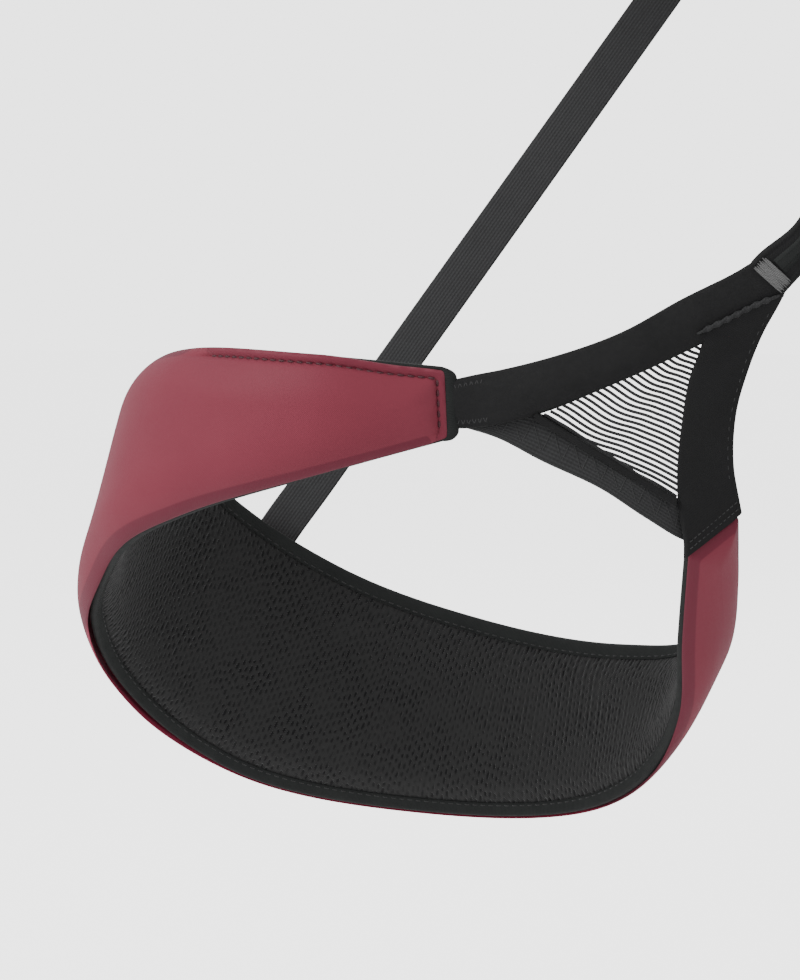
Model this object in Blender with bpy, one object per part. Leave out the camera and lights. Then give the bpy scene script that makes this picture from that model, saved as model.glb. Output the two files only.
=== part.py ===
"""Climbing harness: padded waist belt, tie-in loops, belay loop, two leg loops and rear risers.

Row frame: the origin is the centre of the waist opening, +Z is up, the wearer faces -Y and +X is
the wearer's left. Sizes are in millimetres and become metres when a mesh is made. Everything on
one side is drawn at positive X, outboard, and mirrored by its side sign.
"""
import math

import bmesh
import bpy
import numpy as np
from mathutils import Vector

MM = 0.001
SIDES = (("right", -1.0), ("left", 1.0))

# Waist belt: an oval, narrow in front and tall at the back
WAIST_HALF_WIDTH = 150.0
WAIST_HALF_DEPTH = 112.0
WAIST_FRONT_HEIGHT = 46.0
WAIST_BACK_HEIGHT = 92.0
WAIST_FRONT_Z = -40.0
WAIST_BACK_Z = 8.0
WAIST_END_ANGLE = 27.0
WAIST_FLARE = 1.5
WAIST_STATIONS = 26

# Padded layers: shell, structural web, foam and spacer lining, sewn together at a bound rim
RIM_MARGIN = 1.7
BINDING_WIDTH = 2.4
BINDING_THICKNESS = 3.0
FOAM_INSET = 7.0
ACROSS_LINES = (0.0, 0.08, 0.3, 0.7, 0.92, 1.0)
SHELL_OFFSETS = ((1.4, 2.8), (0.4, 2.8))
WEB_OFFSETS = ((0.1, 2.8), (-0.7, 2.8))
FOAM_OFFSETS = ((-1.0, 2.8), (-0.1, -2.0))
LINING_OFFSETS = ((-0.4, -2.0), (-1.4, -3.0))

# Leg loop band, from the front outer end round the thigh to the inner end: top and bottom rims
LEG_RIMS = (
    ((128, -121, -240), (127, -122, -261)),
    ((172, -124, -236), (170, -125, -273)),
    ((213, -94, -236), (216, -102, -288)),
    ((226, -72, -240), (236, -84, -298)),
    ((234, -46, -249), (250, -60, -313)),
    ((234, -20, -264), (259, -32, -331)),
    ((224, 0, -283), (256, -6, -353)),
    ((206, 11, -300), (240, 8, -370)),
    ((182, 15, -315), (216, 16, -386)),
    ((131, 9, -333), (149, 14, -400)),
    ((78, -16, -339), (86, -13, -392)),
    ((55, -34, -336), (68, -34, -379)),
    ((43, -56, -323), (58, -59, -356)),
    ((39, -78, -307), (56, -84, -329)),
    ((38, -102, -287), (53, -110, -298)),
)
LEG_STATIONS = 24

# Front yoke of each leg loop: two straps that meet at the apex, a mesh insert and an elastic
YOKE_THICKNESS = 2.6
UPPER_STRAP_RIMS = (
    ((126, -121, -243.4), (125, -121, -259)),
    ((112, -122, -240), (112, -122, -257)),
    ((93, -123, -235), (97, -122, -253)),
    ((74, -124, -228), (80, -122, -246)),
    ((55, -125, -217.5), (62, -122, -238)),
    ((40, -125, -210), (43, -122, -228.5)),
    ((32.5, -125, -205.5), (23, -123, -216.5)),
)
SIDE_STRAP_RIMS = (
    ((47.5, -121, -232.2), (21.8, -122, -217.9)),
    ((50.5, -119, -241), (28, -120, -227)),
    ((54, -117, -257), (34, -118, -240)),
    ((56, -114, -272), (38, -115, -254)),
    ((55.5, -111.5, -285), (38.8, -110, -270)),
    ((53.2, -110.2, -294.2), (37.5, -105.2, -282.2)),
)
INSERT_RIMS = (
    ((97, -121.5, -255.4), (97, -121.5, -257.2)),
    ((80, -121.5, -247.4), (83, -120.5, -264.6)),
    ((65, -121, -240.6), (70, -118.6, -272.8)),
    ((51.6, -120.4, -234.6), (58.8, -115, -279.6)),
)
INSERT_THICKNESS = 1.0
ELASTIC_RIMS = (
    ((110, -118.4, -256.5), (110, -118.4, -262)),
    ((98, -118.6, -259), (99, -118.8, -267.5)),
    ((80, -118.6, -267), (80, -118.4, -277)),
    ((66, -116.8, -276.5), (66, -116, -286.8)),
    ((57.2, -114.4, -282), (55.2, -112.2, -294)),
)
ELASTIC_THICKNESS = 1.6
APEX_Y = -124.0
APEX_Z = -210.0

# Rear riser: an elastic strap from the band's rear face to a ring under the belt
RISER_FOOT = (218.6, 19.8, -337.0)
RISER_KNEE = (203.1, 19.8, -307.0)
RISER_TOP = (34.0, 100.5, -62.0)
RISER_WIDTH = 14.2
RISER_THICKNESS = 1.6
RISER_TAIL = 24.0
RING_LENGTH = 14.0
RING_WIDTH = 22.2
RING_BAR = 3.0
FOLD_RADIUS = 3.3
ANCHOR_TOP_Z = -40.4
KEEPER_LENGTH = 6.0
KEEPER_REST = -25.0

# Waist strap and buckle, placed by distance along the oval from the buckle's centre
BUCKLE_ANGLE = 17.0
STRAP_WIDTH = 20.0
STRAP_THICKNESS = 1.8
STRAP_START = -111.0
STRAP_TAIL_END = -158.0
TAIL_ON_PAD = 8.2
FRAME_HALF_LENGTH = 12.0
FRAME_HALF_HEIGHT = 16.0
FRAME_BAR = 4.0
FRAME_THICKNESS = 3.0
SLIDER_BAR_T = -7.0
SLIDER_BAR_N = 6.2
SLIDER_BAR_RADIUS = 1.4
SLIDER_HALF_HEIGHT = 14.5
SLIDER_LENGTH = 13.0
STRAP_FOLD_RADIUS = 3.4

# Tie-in loops and the belay loop that joins them
UPPER_TIE_IN_RIMS = (
    ((30, -104.4, -32), (18, -104.8, -32)),
    ((30, -105, -50), (18, -105.4, -46)),
    ((26, -112, -68), (15.5, -112, -61)),
    ((14, -119, -80), (9.5, -119, -71.5)),
    ((7, -121.3, -82.3), (5, -121.3, -73.3)),
    ((0, -121.5, -82.5), (0, -121.5, -73.5)),
)
LOWER_TIE_IN_RIMS = (
    ((31.6, -125, -203.8), (21.6, -124, -214.0)),
    ((21, -126, -193), (14, -125.6, -202)),
    ((12, -126, -180.5), (9.5, -126, -190.5)),
    ((6, -126, -174.8), (5, -126, -184)),
    ((0, -126, -173.5), (0, -126, -182.5)),
)
TIE_IN_THICKNESS = 3.0
SLEEVE_LENGTH = 14.0
SLEEVE_HALF_DEPTH = 4.2
SLEEVE_HALF_HEIGHT = 8.8
SLEEVE_THICKNESS = 1.2
UPPER_SLEEVE_Z = -77.4
LOWER_SLEEVE_Z = -180.4
BELAY_TOP = (-121.8, -76.2)
BELAY_BOTTOM = (-126.0, -184.6)
BELAY_RADIUS = 10.6
BELAY_THICKNESS = 3.2
BELAY_WIDTH = 16.0

# Gear loops and haul loop: moulded tubes that hang from sewn tabs
GEAR_LOOPS = (("front", 52.0, 86.0), ("rear", 97.0, 131.0))
GEAR_Z = -42.0
GEAR_DEPTH = 60.0
GEAR_RADIUS = 2.7
GEAR_TIP_HALF_WIDTH = 4.5
GEAR_TIP_HALF_THICKNESS = 0.7
GEAR_STANDOFF = 7.6
GEAR_LEAN = 9.0
GEAR_STATIONS = 18
TAB_HALF_WIDTH = 7.0
TAB_HEIGHT = 12.0
TAB_THICKNESS = 3.4
TAB_GAP = 1.0
HAUL_ANGLE = 4.6
HAUL_Z = -26.0
HAUL_DEPTH = 34.0

MATERIALS = {
    "shell_fabric": ((0.30, 0.06, 0.085), 0.62, 0.0),
    "web_fabric": ((0.55, 0.55, 0.52), 0.80, 0.0),
    "foam": ((0.10, 0.10, 0.11), 0.95, 0.0),
    "spacer_mesh": ((0.020, 0.021, 0.022), 0.92, 0.0),
    "binding_tape": ((0.016, 0.017, 0.019), 0.75, 0.0),
    "black_webbing": ((0.018, 0.018, 0.020), 0.70, 0.0),
    "grey_elastic": ((0.045, 0.046, 0.048), 0.85, 0.0),
    "ladder_mesh": ((0.09, 0.09, 0.09), 0.85, 0.0),
    "red_webbing": ((0.33, 0.05, 0.07), 0.70, 0.0),
    "aluminium": ((0.55, 0.56, 0.58), 0.32, 1.0),
    "moulded_plastic": ((0.025, 0.026, 0.028), 0.45, 0.0),
}


def clear_scene():
    for old in list(bpy.data.objects):
        bpy.data.objects.remove(old, do_unlink=True)


def unit(vector):
    return vector / np.linalg.norm(vector, axis=-1, keepdims=True)


def new_material(name, finish):
    colour, roughness, metallic = MATERIALS[finish]
    material = bpy.data.materials.new(name)
    material.use_nodes = True
    shader = material.node_tree.nodes["Principled BSDF"]
    shader.inputs["Base Color"].default_value = (*colour, 1.0)
    shader.inputs["Roughness"].default_value = roughness
    shader.inputs["Metallic"].default_value = metallic
    return material


def add_object(name, bm, finish, pivot=(0.0, 0.0, 0.0)):
    """Object of a bmesh in millimetres, with its origin at the pivot."""
    origin = Vector(pivot) * MM
    bmesh.ops.recalc_face_normals(bm, faces=bm.faces)
    bmesh.ops.scale(bm, vec=(MM, MM, MM), verts=bm.verts)
    bmesh.ops.translate(bm, vec=-origin, verts=bm.verts)
    mesh = bpy.data.meshes.new(name)
    bm.to_mesh(mesh)
    bm.free()
    mesh.shade_smooth()
    mesh.set_sharp_from_angle(angle=math.radians(40))
    mesh.materials.append(new_material(name, finish))
    obj = bpy.data.objects.new(name, mesh)
    obj.location = origin
    bpy.context.scene.collection.objects.link(obj)
    return obj


def sweep(name, sections, finish, closed=False, pivot=(0.0, 0.0, 0.0)):
    """Closed solid through cross-sections that all have the same number of points."""
    bm = bmesh.new()
    rings = [[bm.verts.new(point) for point in section] for section in sections]
    count = len(rings[0])
    pairs = list(zip(rings, rings[1:]))
    if closed:
        pairs.append((rings[-1], rings[0]))
    for ring, following in pairs:
        for k in range(count):
            after = (k + 1) % count
            a, b, c, d = ring[k], ring[after], following[after], following[k]
            # Both sides of a layer are split along the same diagonal, so neighbours stay clear
            triangles = ((a, b, c), (a, c, d)) if k < count // 2 else ((a, b, d), (b, c, d))
            for triangle in triangles:
                bm.faces.new(triangle)
    if not closed:
        bm.faces.new(rings[0])
        bm.faces.new(rings[-1])
    return add_object(name, bm, finish, pivot)


def smooth(rows, stations):
    """Cubic curve through the rows, read at stations given as fractions of its length."""
    rows = np.asarray(rows, float)
    knots = np.concatenate(([0.0], np.cumsum(np.linalg.norm(np.diff(rows, axis=0), axis=1))))
    slopes = np.diff(rows, axis=0) / np.diff(knots)[:, None]
    before = np.vstack((slopes[:1], slopes))
    after = np.vstack((slopes, slopes[-1:]))
    spans = np.concatenate((np.diff(knots)[:1], np.diff(knots), np.diff(knots)[-1:]))
    weight = (spans[:-1] / (spans[:-1] + spans[1:]))[:, None]
    tangents = before * (1 - weight) + after * weight
    fine = []
    for k, span in enumerate(np.diff(knots)):
        for s in np.linspace(0, 1, 24, endpoint=False):
            fine.append((2 * s**3 - 3 * s**2 + 1) * rows[k] + (s**3 - 2 * s**2 + s) * span * tangents[k]
                        + (3 * s**2 - 2 * s**3) * rows[k + 1] + (s**3 - s**2) * span * tangents[k + 1])
    fine = np.array(fine + [rows[-1]])
    length = np.concatenate(([0.0], np.cumsum(np.linalg.norm(np.diff(fine, axis=0), axis=1))))
    wanted = np.asarray(stations) * length[-1]
    return np.stack([np.interp(wanted, length, fine[:, k]) for k in range(fine.shape[1])], axis=1)


def smooth_rims(rims, stations):
    """Two matching edge curves through pairs of points."""
    rows = smooth([first + second for first, second in rims], stations)
    return rows[:, :3], rows[:, 3:]


def mirrored(points, side):
    return np.asarray(points, float) * (side, 1.0, 1.0)


def ribbon_sections(edge, other, thickness, closed=False):
    """Four-point sections of a flat strap between two edges."""
    centre = (edge + other) / 2
    if closed:
        along = np.roll(centre, -1, axis=0) - np.roll(centre, 1, axis=0)
    else:
        along = np.gradient(centre, axis=0)
    normal = unit(np.cross(other - edge, along)) * thickness / 2
    return [(a + n, b + n, b - n, a - n) for a, b, n in zip(edge, other, normal)]


def strap_sections(path, across, width, thickness, closed=False):
    """Sections of a strap of constant width whose path bends square to its width."""
    half = np.asarray(across) * width / 2
    return ribbon_sections(path - half, path + half, thickness, closed)


def arc(centre, radius, start, end, steps):
    """Points of a plane arc, angles in degrees."""
    angles = np.radians(np.linspace(start, end, steps))
    return [(centre[0] + radius * math.cos(a), centre[1] + radius * math.sin(a)) for a in angles]


# ---------------------------------------------------------------- padded bands

def band_stations(length, count):
    """Stations of a padded band: its ends, the skins' ends, then even steps along the foam."""
    inner = np.linspace(FOAM_INSET / length, 1 - FOAM_INSET / length, count)
    end = RIM_MARGIN / length
    return np.concatenate(([0.0, end], inner, [1 - end, 1.0]))


def band_frame(top, bottom):
    along = unit(np.gradient((top + bottom) / 2, axis=0))
    across = unit(bottom - top)
    return along, across, unit(np.cross(across, along))


def swelling(v):
    return math.sin(math.pi * v) ** 0.6 if 0 < v < 1 else 0.0


def layer_sections(top, bottom, lines, offsets):
    """Sections of one layer: its outer side from rim to rim, then its inner side back."""
    along, across, normal = band_frame(top, bottom)
    width = np.linalg.norm(bottom - top, axis=1) - 2 * RIM_MARGIN
    sections = []
    for i, start in enumerate(top):
        points = []
        for (rim, middle), order in zip(offsets, (lines, lines[::-1])):
            for v in order:
                base = start + across[i] * (RIM_MARGIN + v * width[i])
                points.append(base + normal[i] * (rim + middle * swelling(v)))
        sections.append(points)
    return sections


def binding_sections(top, bottom):
    """Sections of the tape that runs round a band's whole outline."""
    along, across, normal = band_frame(top, bottom)
    path = np.vstack((top, bottom[::-1]))
    normals = np.vstack((normal, normal[::-1]))
    outward = np.vstack((-across, across[::-1]))
    last = len(top) - 1
    for corner, end in ((0, -along[0]), (last, along[-1]), (last + 1, along[-1]), (-1, -along[0])):
        outward[corner] = unit(outward[corner] + end) * math.sqrt(2)
    sections = []
    for point, n, out in zip(path, normals, outward):
        across_tape = n * BINDING_THICKNESS / 2
        into = out * BINDING_WIDTH / 2
        sections.append((point + into + across_tape, point + into - across_tape,
                         point - into - across_tape, point - into + across_tape))
    return sections


def padded_band(prefix, suffix, top, bottom, side):
    """The five sewn layers of a padded band, as separate solids."""
    inner_lines = ACROSS_LINES[1:-1]
    layers = (
        ("shell", ACROSS_LINES, SHELL_OFFSETS, slice(1, -1), "shell_fabric"),
        ("core_web", inner_lines, WEB_OFFSETS, slice(2, -2), "web_fabric"),
        ("foam", inner_lines, FOAM_OFFSETS, slice(2, -2), "foam"),
        ("lining", ACROSS_LINES, LINING_OFFSETS, slice(1, -1), "spacer_mesh"),
    )
    for part, lines, offsets, rows, finish in layers:
        sections = layer_sections(top[rows], bottom[rows], lines, offsets)
        sweep(f"{prefix}_{part}{suffix}", mirrored(sections, side), finish)
    rows = np.r_[0, 2:len(top) - 2, len(top) - 1]
    sections = binding_sections(top[rows], bottom[rows])
    sweep(f"{prefix}_binding{suffix}", mirrored(sections, side), "binding_tape", closed=True)


# ---------------------------------------------------------------- leg loops

def leg_band(name, side):
    rough = smooth_rims(LEG_RIMS, np.linspace(0, 1, 60))
    length = np.linalg.norm(np.diff(sum(rough) / 2, axis=0), axis=1).sum()
    top, bottom = smooth_rims(LEG_RIMS, band_stations(length, LEG_STATIONS))
    padded_band("leg", f"_{name}", top, bottom, side)


def yoke(name, side):
    pieces = (
        ("yoke_upper_strap", UPPER_STRAP_RIMS, YOKE_THICKNESS, 13, "black_webbing"),
        ("yoke_side_strap", SIDE_STRAP_RIMS, YOKE_THICKNESS, 11, "black_webbing"),
        ("yoke_insert", INSERT_RIMS, INSERT_THICKNESS, 7, "ladder_mesh"),
        ("yoke_elastic", ELASTIC_RIMS, ELASTIC_THICKNESS, 9, "grey_elastic"),
    )
    for part, rims, thickness, count, finish in pieces:
        edge, other = smooth_rims(rims, np.linspace(0, 1, count))
        sections = ribbon_sections(edge, other, thickness)
        sweep(f"{part}_{name}", mirrored(sections, side), finish,
              pivot=(0.0, APEX_Y, APEX_Z))


def riser_axes():
    """Unit vectors of the riser: up along it, across it, and out of its rear face."""
    rise = unit(np.subtract(RISER_TOP, RISER_KNEE))
    across = unit(np.array((rise[2], 0.0, -rise[0])))
    return rise, across, np.cross(rise, across)


def riser_local(points):
    """Plane points (along, rearward) at the ring's centre, in the row frame."""
    rise, across, rear = riser_axes()
    centre = np.array(RISER_TOP) + rise * (RING_LENGTH / 2) + rear * FOLD_RADIUS
    return np.array([centre + rise * s + rear * n for s, n in points])


def rounded_frame(name, centre, axes, outer, bar, thickness, finish, side, pivot=(0.0, 0.0, 0.0)):
    """Flat rectangular ring: axes are its length, width and thickness directions."""
    sections = []
    half = np.array(outer) / 2
    corner = bar * 0.8
    inner_corner = bar * 0.3
    for sx, sy, start in ((1, 1, 0), (-1, 1, 90), (-1, -1, 180), (1, -1, 270)):
        quadrant = np.array((sx, sy))
        for turn in (0, 45, 90):
            angle = math.radians(start + turn)
            ray = np.array((math.cos(angle), math.sin(angle)))
            spot = quadrant * (half - corner) + ray * corner
            inner = quadrant * (half - bar - inner_corner) + ray * inner_corner
            section = []
            for flat, level in ((spot, 1), (spot, -1), (inner, -1), (inner, 1)):
                section.append(centre + axes[0] * flat[0] + axes[1] * flat[1] + axes[2] * level * thickness / 2)
            sections.append(section)
    return sweep(name, mirrored(sections, side), finish, closed=True, pivot=pivot)


def rear_riser(name, side):
    rise, across, rear = riser_axes()
    lower_bar = -(RING_LENGTH - RING_BAR) / 2
    fold = riser_local(arc((lower_bar, 0.0), FOLD_RADIUS, -90, 90, 9))
    tail = riser_local([(lower_bar - RISER_TAIL, FOLD_RADIUS)])
    rows = (RISER_FOOT, RISER_KNEE, RISER_KNEE + rise * 25, fold[0] - rise * 40, fold[0])
    run = smooth(rows, (0, 0.03, 0.07, 0.11, 0.15, 0.25, 0.5, 0.75, 0.97))
    sections = strap_sections(np.vstack((run, fold, tail)), across, RISER_WIDTH, RISER_THICKNESS)
    sweep(f"rear_riser_{name}", mirrored(sections, side), "grey_elastic")
    foot = run[:3] + rear * (RISER_THICKNESS / 2 + 0.8)
    sections = strap_sections(foot, across, RISER_WIDTH + 4, 1.0)
    sweep(f"riser_patch_{name}", mirrored(sections, side), "black_webbing")


def riser_hardware(name, side):
    rise, across, rear = riser_axes()
    centre = riser_local([(0.0, 0.0)])[0]
    rounded_frame(f"riser_ring_{name}", centre, (rise, across, rear), (RING_LENGTH, RING_WIDTH),
                  RING_BAR, RING_BAR, "moulded_plastic", side)
    upper_bar = (RING_LENGTH - RING_BAR) / 2
    front = riser_local([(upper_bar + 2.0, -FOLD_RADIUS)])
    fold = riser_local(arc((upper_bar, 0.0), FOLD_RADIUS, 270, 90, 9))
    back = riser_local([(upper_bar + 2.0, FOLD_RADIUS)])
    path = np.vstack((front, fold, back))
    edges = [path + across * half for half in (-RISER_WIDTH / 2, RISER_WIDTH / 2)]
    for edge in edges:
        for end in (0, -1):
            edge[end] += rise * (ANCHOR_TOP_Z - edge[end][2]) / rise[2]
    sections = ribbon_sections(*edges, RISER_THICKNESS)
    sweep(f"riser_anchor_{name}", mirrored(sections, side), "black_webbing")
    keeper = riser_local([(KEEPER_REST, 0.0)])[0]
    size = (2 * FOLD_RADIUS + RISER_THICKNESS + 3.8, RISER_WIDTH + 4.6)
    rounded_frame(f"riser_keeper_{name}", keeper, (rear, across, rise), size, 1.6, KEEPER_LENGTH,
                  "moulded_plastic", side)


# ---------------------------------------------------------------- waist belt

def rise_share(angle):
    """0 at the front of the waist, 1 at the back."""
    return (1 - math.cos(math.radians(angle))) / 2


def belt_z(angle):
    return WAIST_FRONT_Z + (WAIST_BACK_Z - WAIST_FRONT_Z) * rise_share(angle) ** 0.8


def belt_height(angle):
    grown = min(1.0, rise_share(angle) / 0.6)
    return WAIST_FRONT_HEIGHT + (WAIST_BACK_HEIGHT - WAIST_FRONT_HEIGHT) * grown * grown * (3 - 2 * grown)


def oval(angle, outward, z):
    """Point at an angle from the front centre, outside the waist oval by outward."""
    a = math.radians(angle)
    normal = unit(np.array((math.sin(a) / WAIST_HALF_WIDTH, -math.cos(a) / WAIST_HALF_DEPTH)))
    x = WAIST_HALF_WIDTH * math.sin(a) + normal[0] * outward
    y = -WAIST_HALF_DEPTH * math.cos(a) + normal[1] * outward
    return np.array((x, y, z))


def oval_tangent(angle):
    return unit(oval(angle + 0.5, 0, 0) - oval(angle - 0.5, 0, 0))


def oval_normal(angle):
    return unit(oval(angle, 1, 0) - oval(angle, 0, 0))


def waist_band():
    rough = np.array([oval(a, 0, belt_z(a)) for a in np.linspace(WAIST_END_ANGLE, 360 - WAIST_END_ANGLE, 90)])
    length = np.linalg.norm(np.diff(rough, axis=0), axis=1).sum()
    tops = []
    bottoms = []
    for share in band_stations(length, WAIST_STATIONS):
        angle = WAIST_END_ANGLE + share * (360 - 2 * WAIST_END_ANGLE)
        half = belt_height(angle) / 2
        tops.append(oval(angle, -WAIST_FLARE, belt_z(angle) + half))
        bottoms.append(oval(angle, WAIST_FLARE, belt_z(angle) - half))
    padded_band("waist", "", np.array(tops), np.array(bottoms), 1.0)


def strap_point(t, n, z=0.0):
    """Point of the waist strap: t along the oval from the buckle, n outward, z from its middle."""
    step = np.linalg.norm(oval(BUCKLE_ANGLE + 0.5, 0, 0) - oval(BUCKLE_ANGLE - 0.5, 0, 0))
    angle = BUCKLE_ANGLE + t / step
    return oval(angle, n, belt_z(BUCKLE_ANGLE) + z)


def waist_strap():
    """One webbing: in from the right pad, round the slider's bar and back over itself."""
    inner = [(STRAP_START, -0.6), (-90, -1.4), (-70, -1.6), (-50, -1.6), (-30, -1.6), (-18, -1.6),
             (-10.5, -1.6), (-7.2, -1.2), (-4.9, 0.4), (-3.8, 3.0)]
    fold = arc((SLIDER_BAR_T, SLIDER_BAR_N), STRAP_FOLD_RADIUS, 0, 90, 5)
    outer = [(-12, 9.2), (-20, 7.0), (-30, 4.2), (-45, 2.0), (-65, 1.4), (-85, 2.2), (-100, 4.8),
             (-112, TAIL_ON_PAD), (-135, TAIL_ON_PAD + 0.2), (STRAP_TAIL_END, TAIL_ON_PAD + 0.2)]
    path = np.array([strap_point(t, n) for t, n in inner + fold + outer])
    sections = strap_sections(path, (0.0, 0.0, 1.0), STRAP_WIDTH, STRAP_THICKNESS)
    sweep("waist_strap", sections, "red_webbing")


def buckle():
    along = oval_tangent(BUCKLE_ANGLE)
    outward = oval_normal(BUCKLE_ANGLE)
    upward = np.array((0.0, 0.0, 1.0))
    centre = strap_point(0.0, FRAME_THICKNESS / 2)
    size = (2 * FRAME_HALF_LENGTH, 2 * FRAME_HALF_HEIGHT)
    rounded_frame("buckle_frame", centre, (along, upward, outward), size, FRAME_BAR, FRAME_THICKNESS,
                  "aluminium", 1.0)
    pivot = strap_point(SLIDER_BAR_T, SLIDER_BAR_N)
    middle = pivot + along * (SLIDER_LENGTH / 2 - SLIDER_BAR_RADIUS)
    size = (SLIDER_LENGTH, 2 * SLIDER_HALF_HEIGHT)
    rounded_frame("buckle_slider", middle, (along, upward, outward), size, 2 * SLIDER_BAR_RADIUS,
                  2 * SLIDER_BAR_RADIUS - 0.4, "aluminium", 1.0, pivot=pivot)
    bar_t = FRAME_HALF_LENGTH - FRAME_BAR / 2
    bar_n = FRAME_THICKNESS / 2
    fold = arc((bar_t, bar_n), 3.9, 270, 90, 9)
    ends = [(24.0, -1.0), (17.0, -2.2)]
    lap = [(17.0, 5.6), (25.0, 6.4), (34.0, TAIL_ON_PAD - 0.6)]
    path = np.array([strap_point(t, n) for t, n in ends + fold + lap])
    sections = strap_sections(path, upward, STRAP_WIDTH, STRAP_THICKNESS)
    sweep("buckle_anchor", sections, "black_webbing")


def strap_keeper():
    """Elastic loop on the right pad that holds the strap's tail."""
    t = STRAP_TAIL_END + 14.0
    middle = strap_point(t, TAIL_ON_PAD + 0.2)
    step = strap_point(t + 1, 0) - strap_point(t - 1, 0)
    along = unit(step)
    outward = np.cross(along, (0.0, 0.0, 1.0))
    size = (STRAP_THICKNESS + 3.2, STRAP_WIDTH + 4.0)
    rounded_frame("strap_keeper", middle, (outward, np.array((0.0, 0.0, 1.0)), along), size, 1.0, 11.0,
                  "grey_elastic", 1.0)


# ---------------------------------------------------------------- tie-in loops

def whole_arch(rims, half_count):
    """Both halves of a tie-in loop that is drawn on one side."""
    edge, other = smooth_rims(rims, np.linspace(0, 1, half_count))
    flip = np.array((-1.0, 1.0, 1.0))
    return np.vstack((edge, edge[-2::-1] * flip)), np.vstack((other, other[-2::-1] * flip))


def plane_ring(top, bottom, radius, steps):
    """Closed path in the YZ plane: two half circles joined by straight runs."""
    points = []
    for (y, z), start in ((top, 0), (bottom, 180)):
        for a in np.radians(np.linspace(start, start + 180, steps)):
            points.append((0.0, y + radius * math.cos(a), z + radius * math.sin(a)))
    return np.array(points)


def tie_in(name, rims, sleeve_z, count):
    edge, other = whole_arch(rims, count)
    sweep(f"{name}_tie_in", ribbon_sections(edge, other, TIE_IN_THICKNESS), "black_webbing")
    y = rims[-1][0][1]
    reach = SLEEVE_HALF_DEPTH - SLEEVE_THICKNESS / 2
    drop = SLEEVE_HALF_HEIGHT - SLEEVE_THICKNESS / 2 - reach
    path = plane_ring((y, sleeve_z + drop), (y, sleeve_z - drop), reach, 7)
    sections = strap_sections(path, (1.0, 0.0, 0.0), SLEEVE_LENGTH, SLEEVE_THICKNESS, closed=True)
    sweep(f"{name}_wear_sleeve", sections, "moulded_plastic", closed=True)


def belay_loop():
    path = plane_ring(BELAY_TOP, BELAY_BOTTOM, BELAY_RADIUS, 12)
    sections = strap_sections(path, (1.0, 0.0, 0.0), BELAY_WIDTH, BELAY_THICKNESS, closed=True)
    sweep("belay_loop", sections, "red_webbing", closed=True, pivot=(0.0, *BELAY_TOP))


# ---------------------------------------------------------------- gear loops

def hanging_loop(name, first, last, top, depth, lean, side, finish):
    """Moulded tube hung from two points of the belt, flattened at its sewn tips."""
    start = oval(first, GEAR_STANDOFF, top)
    end = oval(last, GEAR_STANDOFF, top)
    chord = unit(end - start)
    outward = np.cross(chord, (0.0, 0.0, 1.0))
    middle = (start + end) / 2
    span = np.linalg.norm(end - start) / 2
    bulge = unit(oval((first + last) / 2, 1, 0) - oval((first + last) / 2, 0, 0)) @ outward
    sag = np.linalg.norm((oval((first + last) / 2, 0, 0) - (oval(first, 0, 0) + oval(last, 0, 0)) / 2))
    path = []
    for share in np.linspace(0, 1, GEAR_STATIONS):
        a = math.pi * share
        reach = math.copysign(abs(math.cos(a)) ** 0.75, math.cos(a))
        fall = math.sin(a) ** 0.8
        out = (lean + sag) * fall ** 1.5 * bulge
        path.append(middle - chord * span * reach + outward * out - np.array((0.0, 0.0, depth * fall)))
    path = np.array(path)
    tangent = unit(np.gradient(path, axis=0))
    facing = unit(outward - tangent * (tangent @ outward)[:, None])
    wide = np.cross(facing, tangent)
    sections = []
    for i, point in enumerate(path):
        tip = max(0.0, 1 - 4 * min(i, GEAR_STATIONS - 1 - i) / (GEAR_STATIONS - 1))
        half_width = GEAR_RADIUS + (GEAR_TIP_HALF_WIDTH - GEAR_RADIUS) * tip
        half_thick = GEAR_RADIUS + (GEAR_TIP_HALF_THICKNESS - GEAR_RADIUS) * tip
        ring = np.radians(np.arange(8) * 45 + 22.5)
        sections.append([point + wide[i] * half_width * math.cos(a) + facing[i] * half_thick * math.sin(a)
                         for a in ring])
    sweep(name, mirrored(sections, side), finish, pivot=middle * (side, 1.0, 1.0))


def tab(name, angle, top, half_width, side):
    """Sewn tab on the belt's outer face, just above the tip of a loop."""
    chord = oval_tangent(angle) * half_width
    base = oval(angle, GEAR_STANDOFF - TAB_THICKNESS / 2, 0.0)
    outward = oval_normal(angle) * TAB_THICKNESS
    sections = []
    for z in (top + TAB_GAP, top + TAB_GAP + TAB_HEIGHT):
        level = base + np.array((0.0, 0.0, z))
        sections.append((level - chord, level + chord, level + chord + outward, level - chord + outward))
    sweep(name, mirrored(sections, side), "black_webbing")


def gear_loops():
    for name, side in SIDES:
        for place, first, last in GEAR_LOOPS:
            hanging_loop(f"gear_loop_{place}_{name}", first, last, GEAR_Z, GEAR_DEPTH, GEAR_LEAN, side,
                         "moulded_plastic")
            for end, angle in (("fore", first), ("aft", last)):
                tab(f"gear_tab_{place}_{end}_{name}", angle, GEAR_Z, TAB_HALF_WIDTH, side)
    hanging_loop("haul_loop", 180 - HAUL_ANGLE, 180 + HAUL_ANGLE, HAUL_Z, HAUL_DEPTH, GEAR_LEAN, 1.0,
                 "red_webbing")
    tab("haul_tab", 180.0, HAUL_Z, 2.3 * TAB_HALF_WIDTH, 1.0)


def main():
    clear_scene()
    waist_band()
    waist_strap()
    buckle()
    strap_keeper()
    tie_in("upper", UPPER_TIE_IN_RIMS, UPPER_SLEEVE_Z, 11)
    tie_in("lower", LOWER_TIE_IN_RIMS, LOWER_SLEEVE_Z, 9)
    belay_loop()
    gear_loops()
    for name, side in SIDES:
        leg_band(name, side)
        yoke(name, side)
        rear_riser(name, side)
        riser_hardware(name, side)


main()
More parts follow.
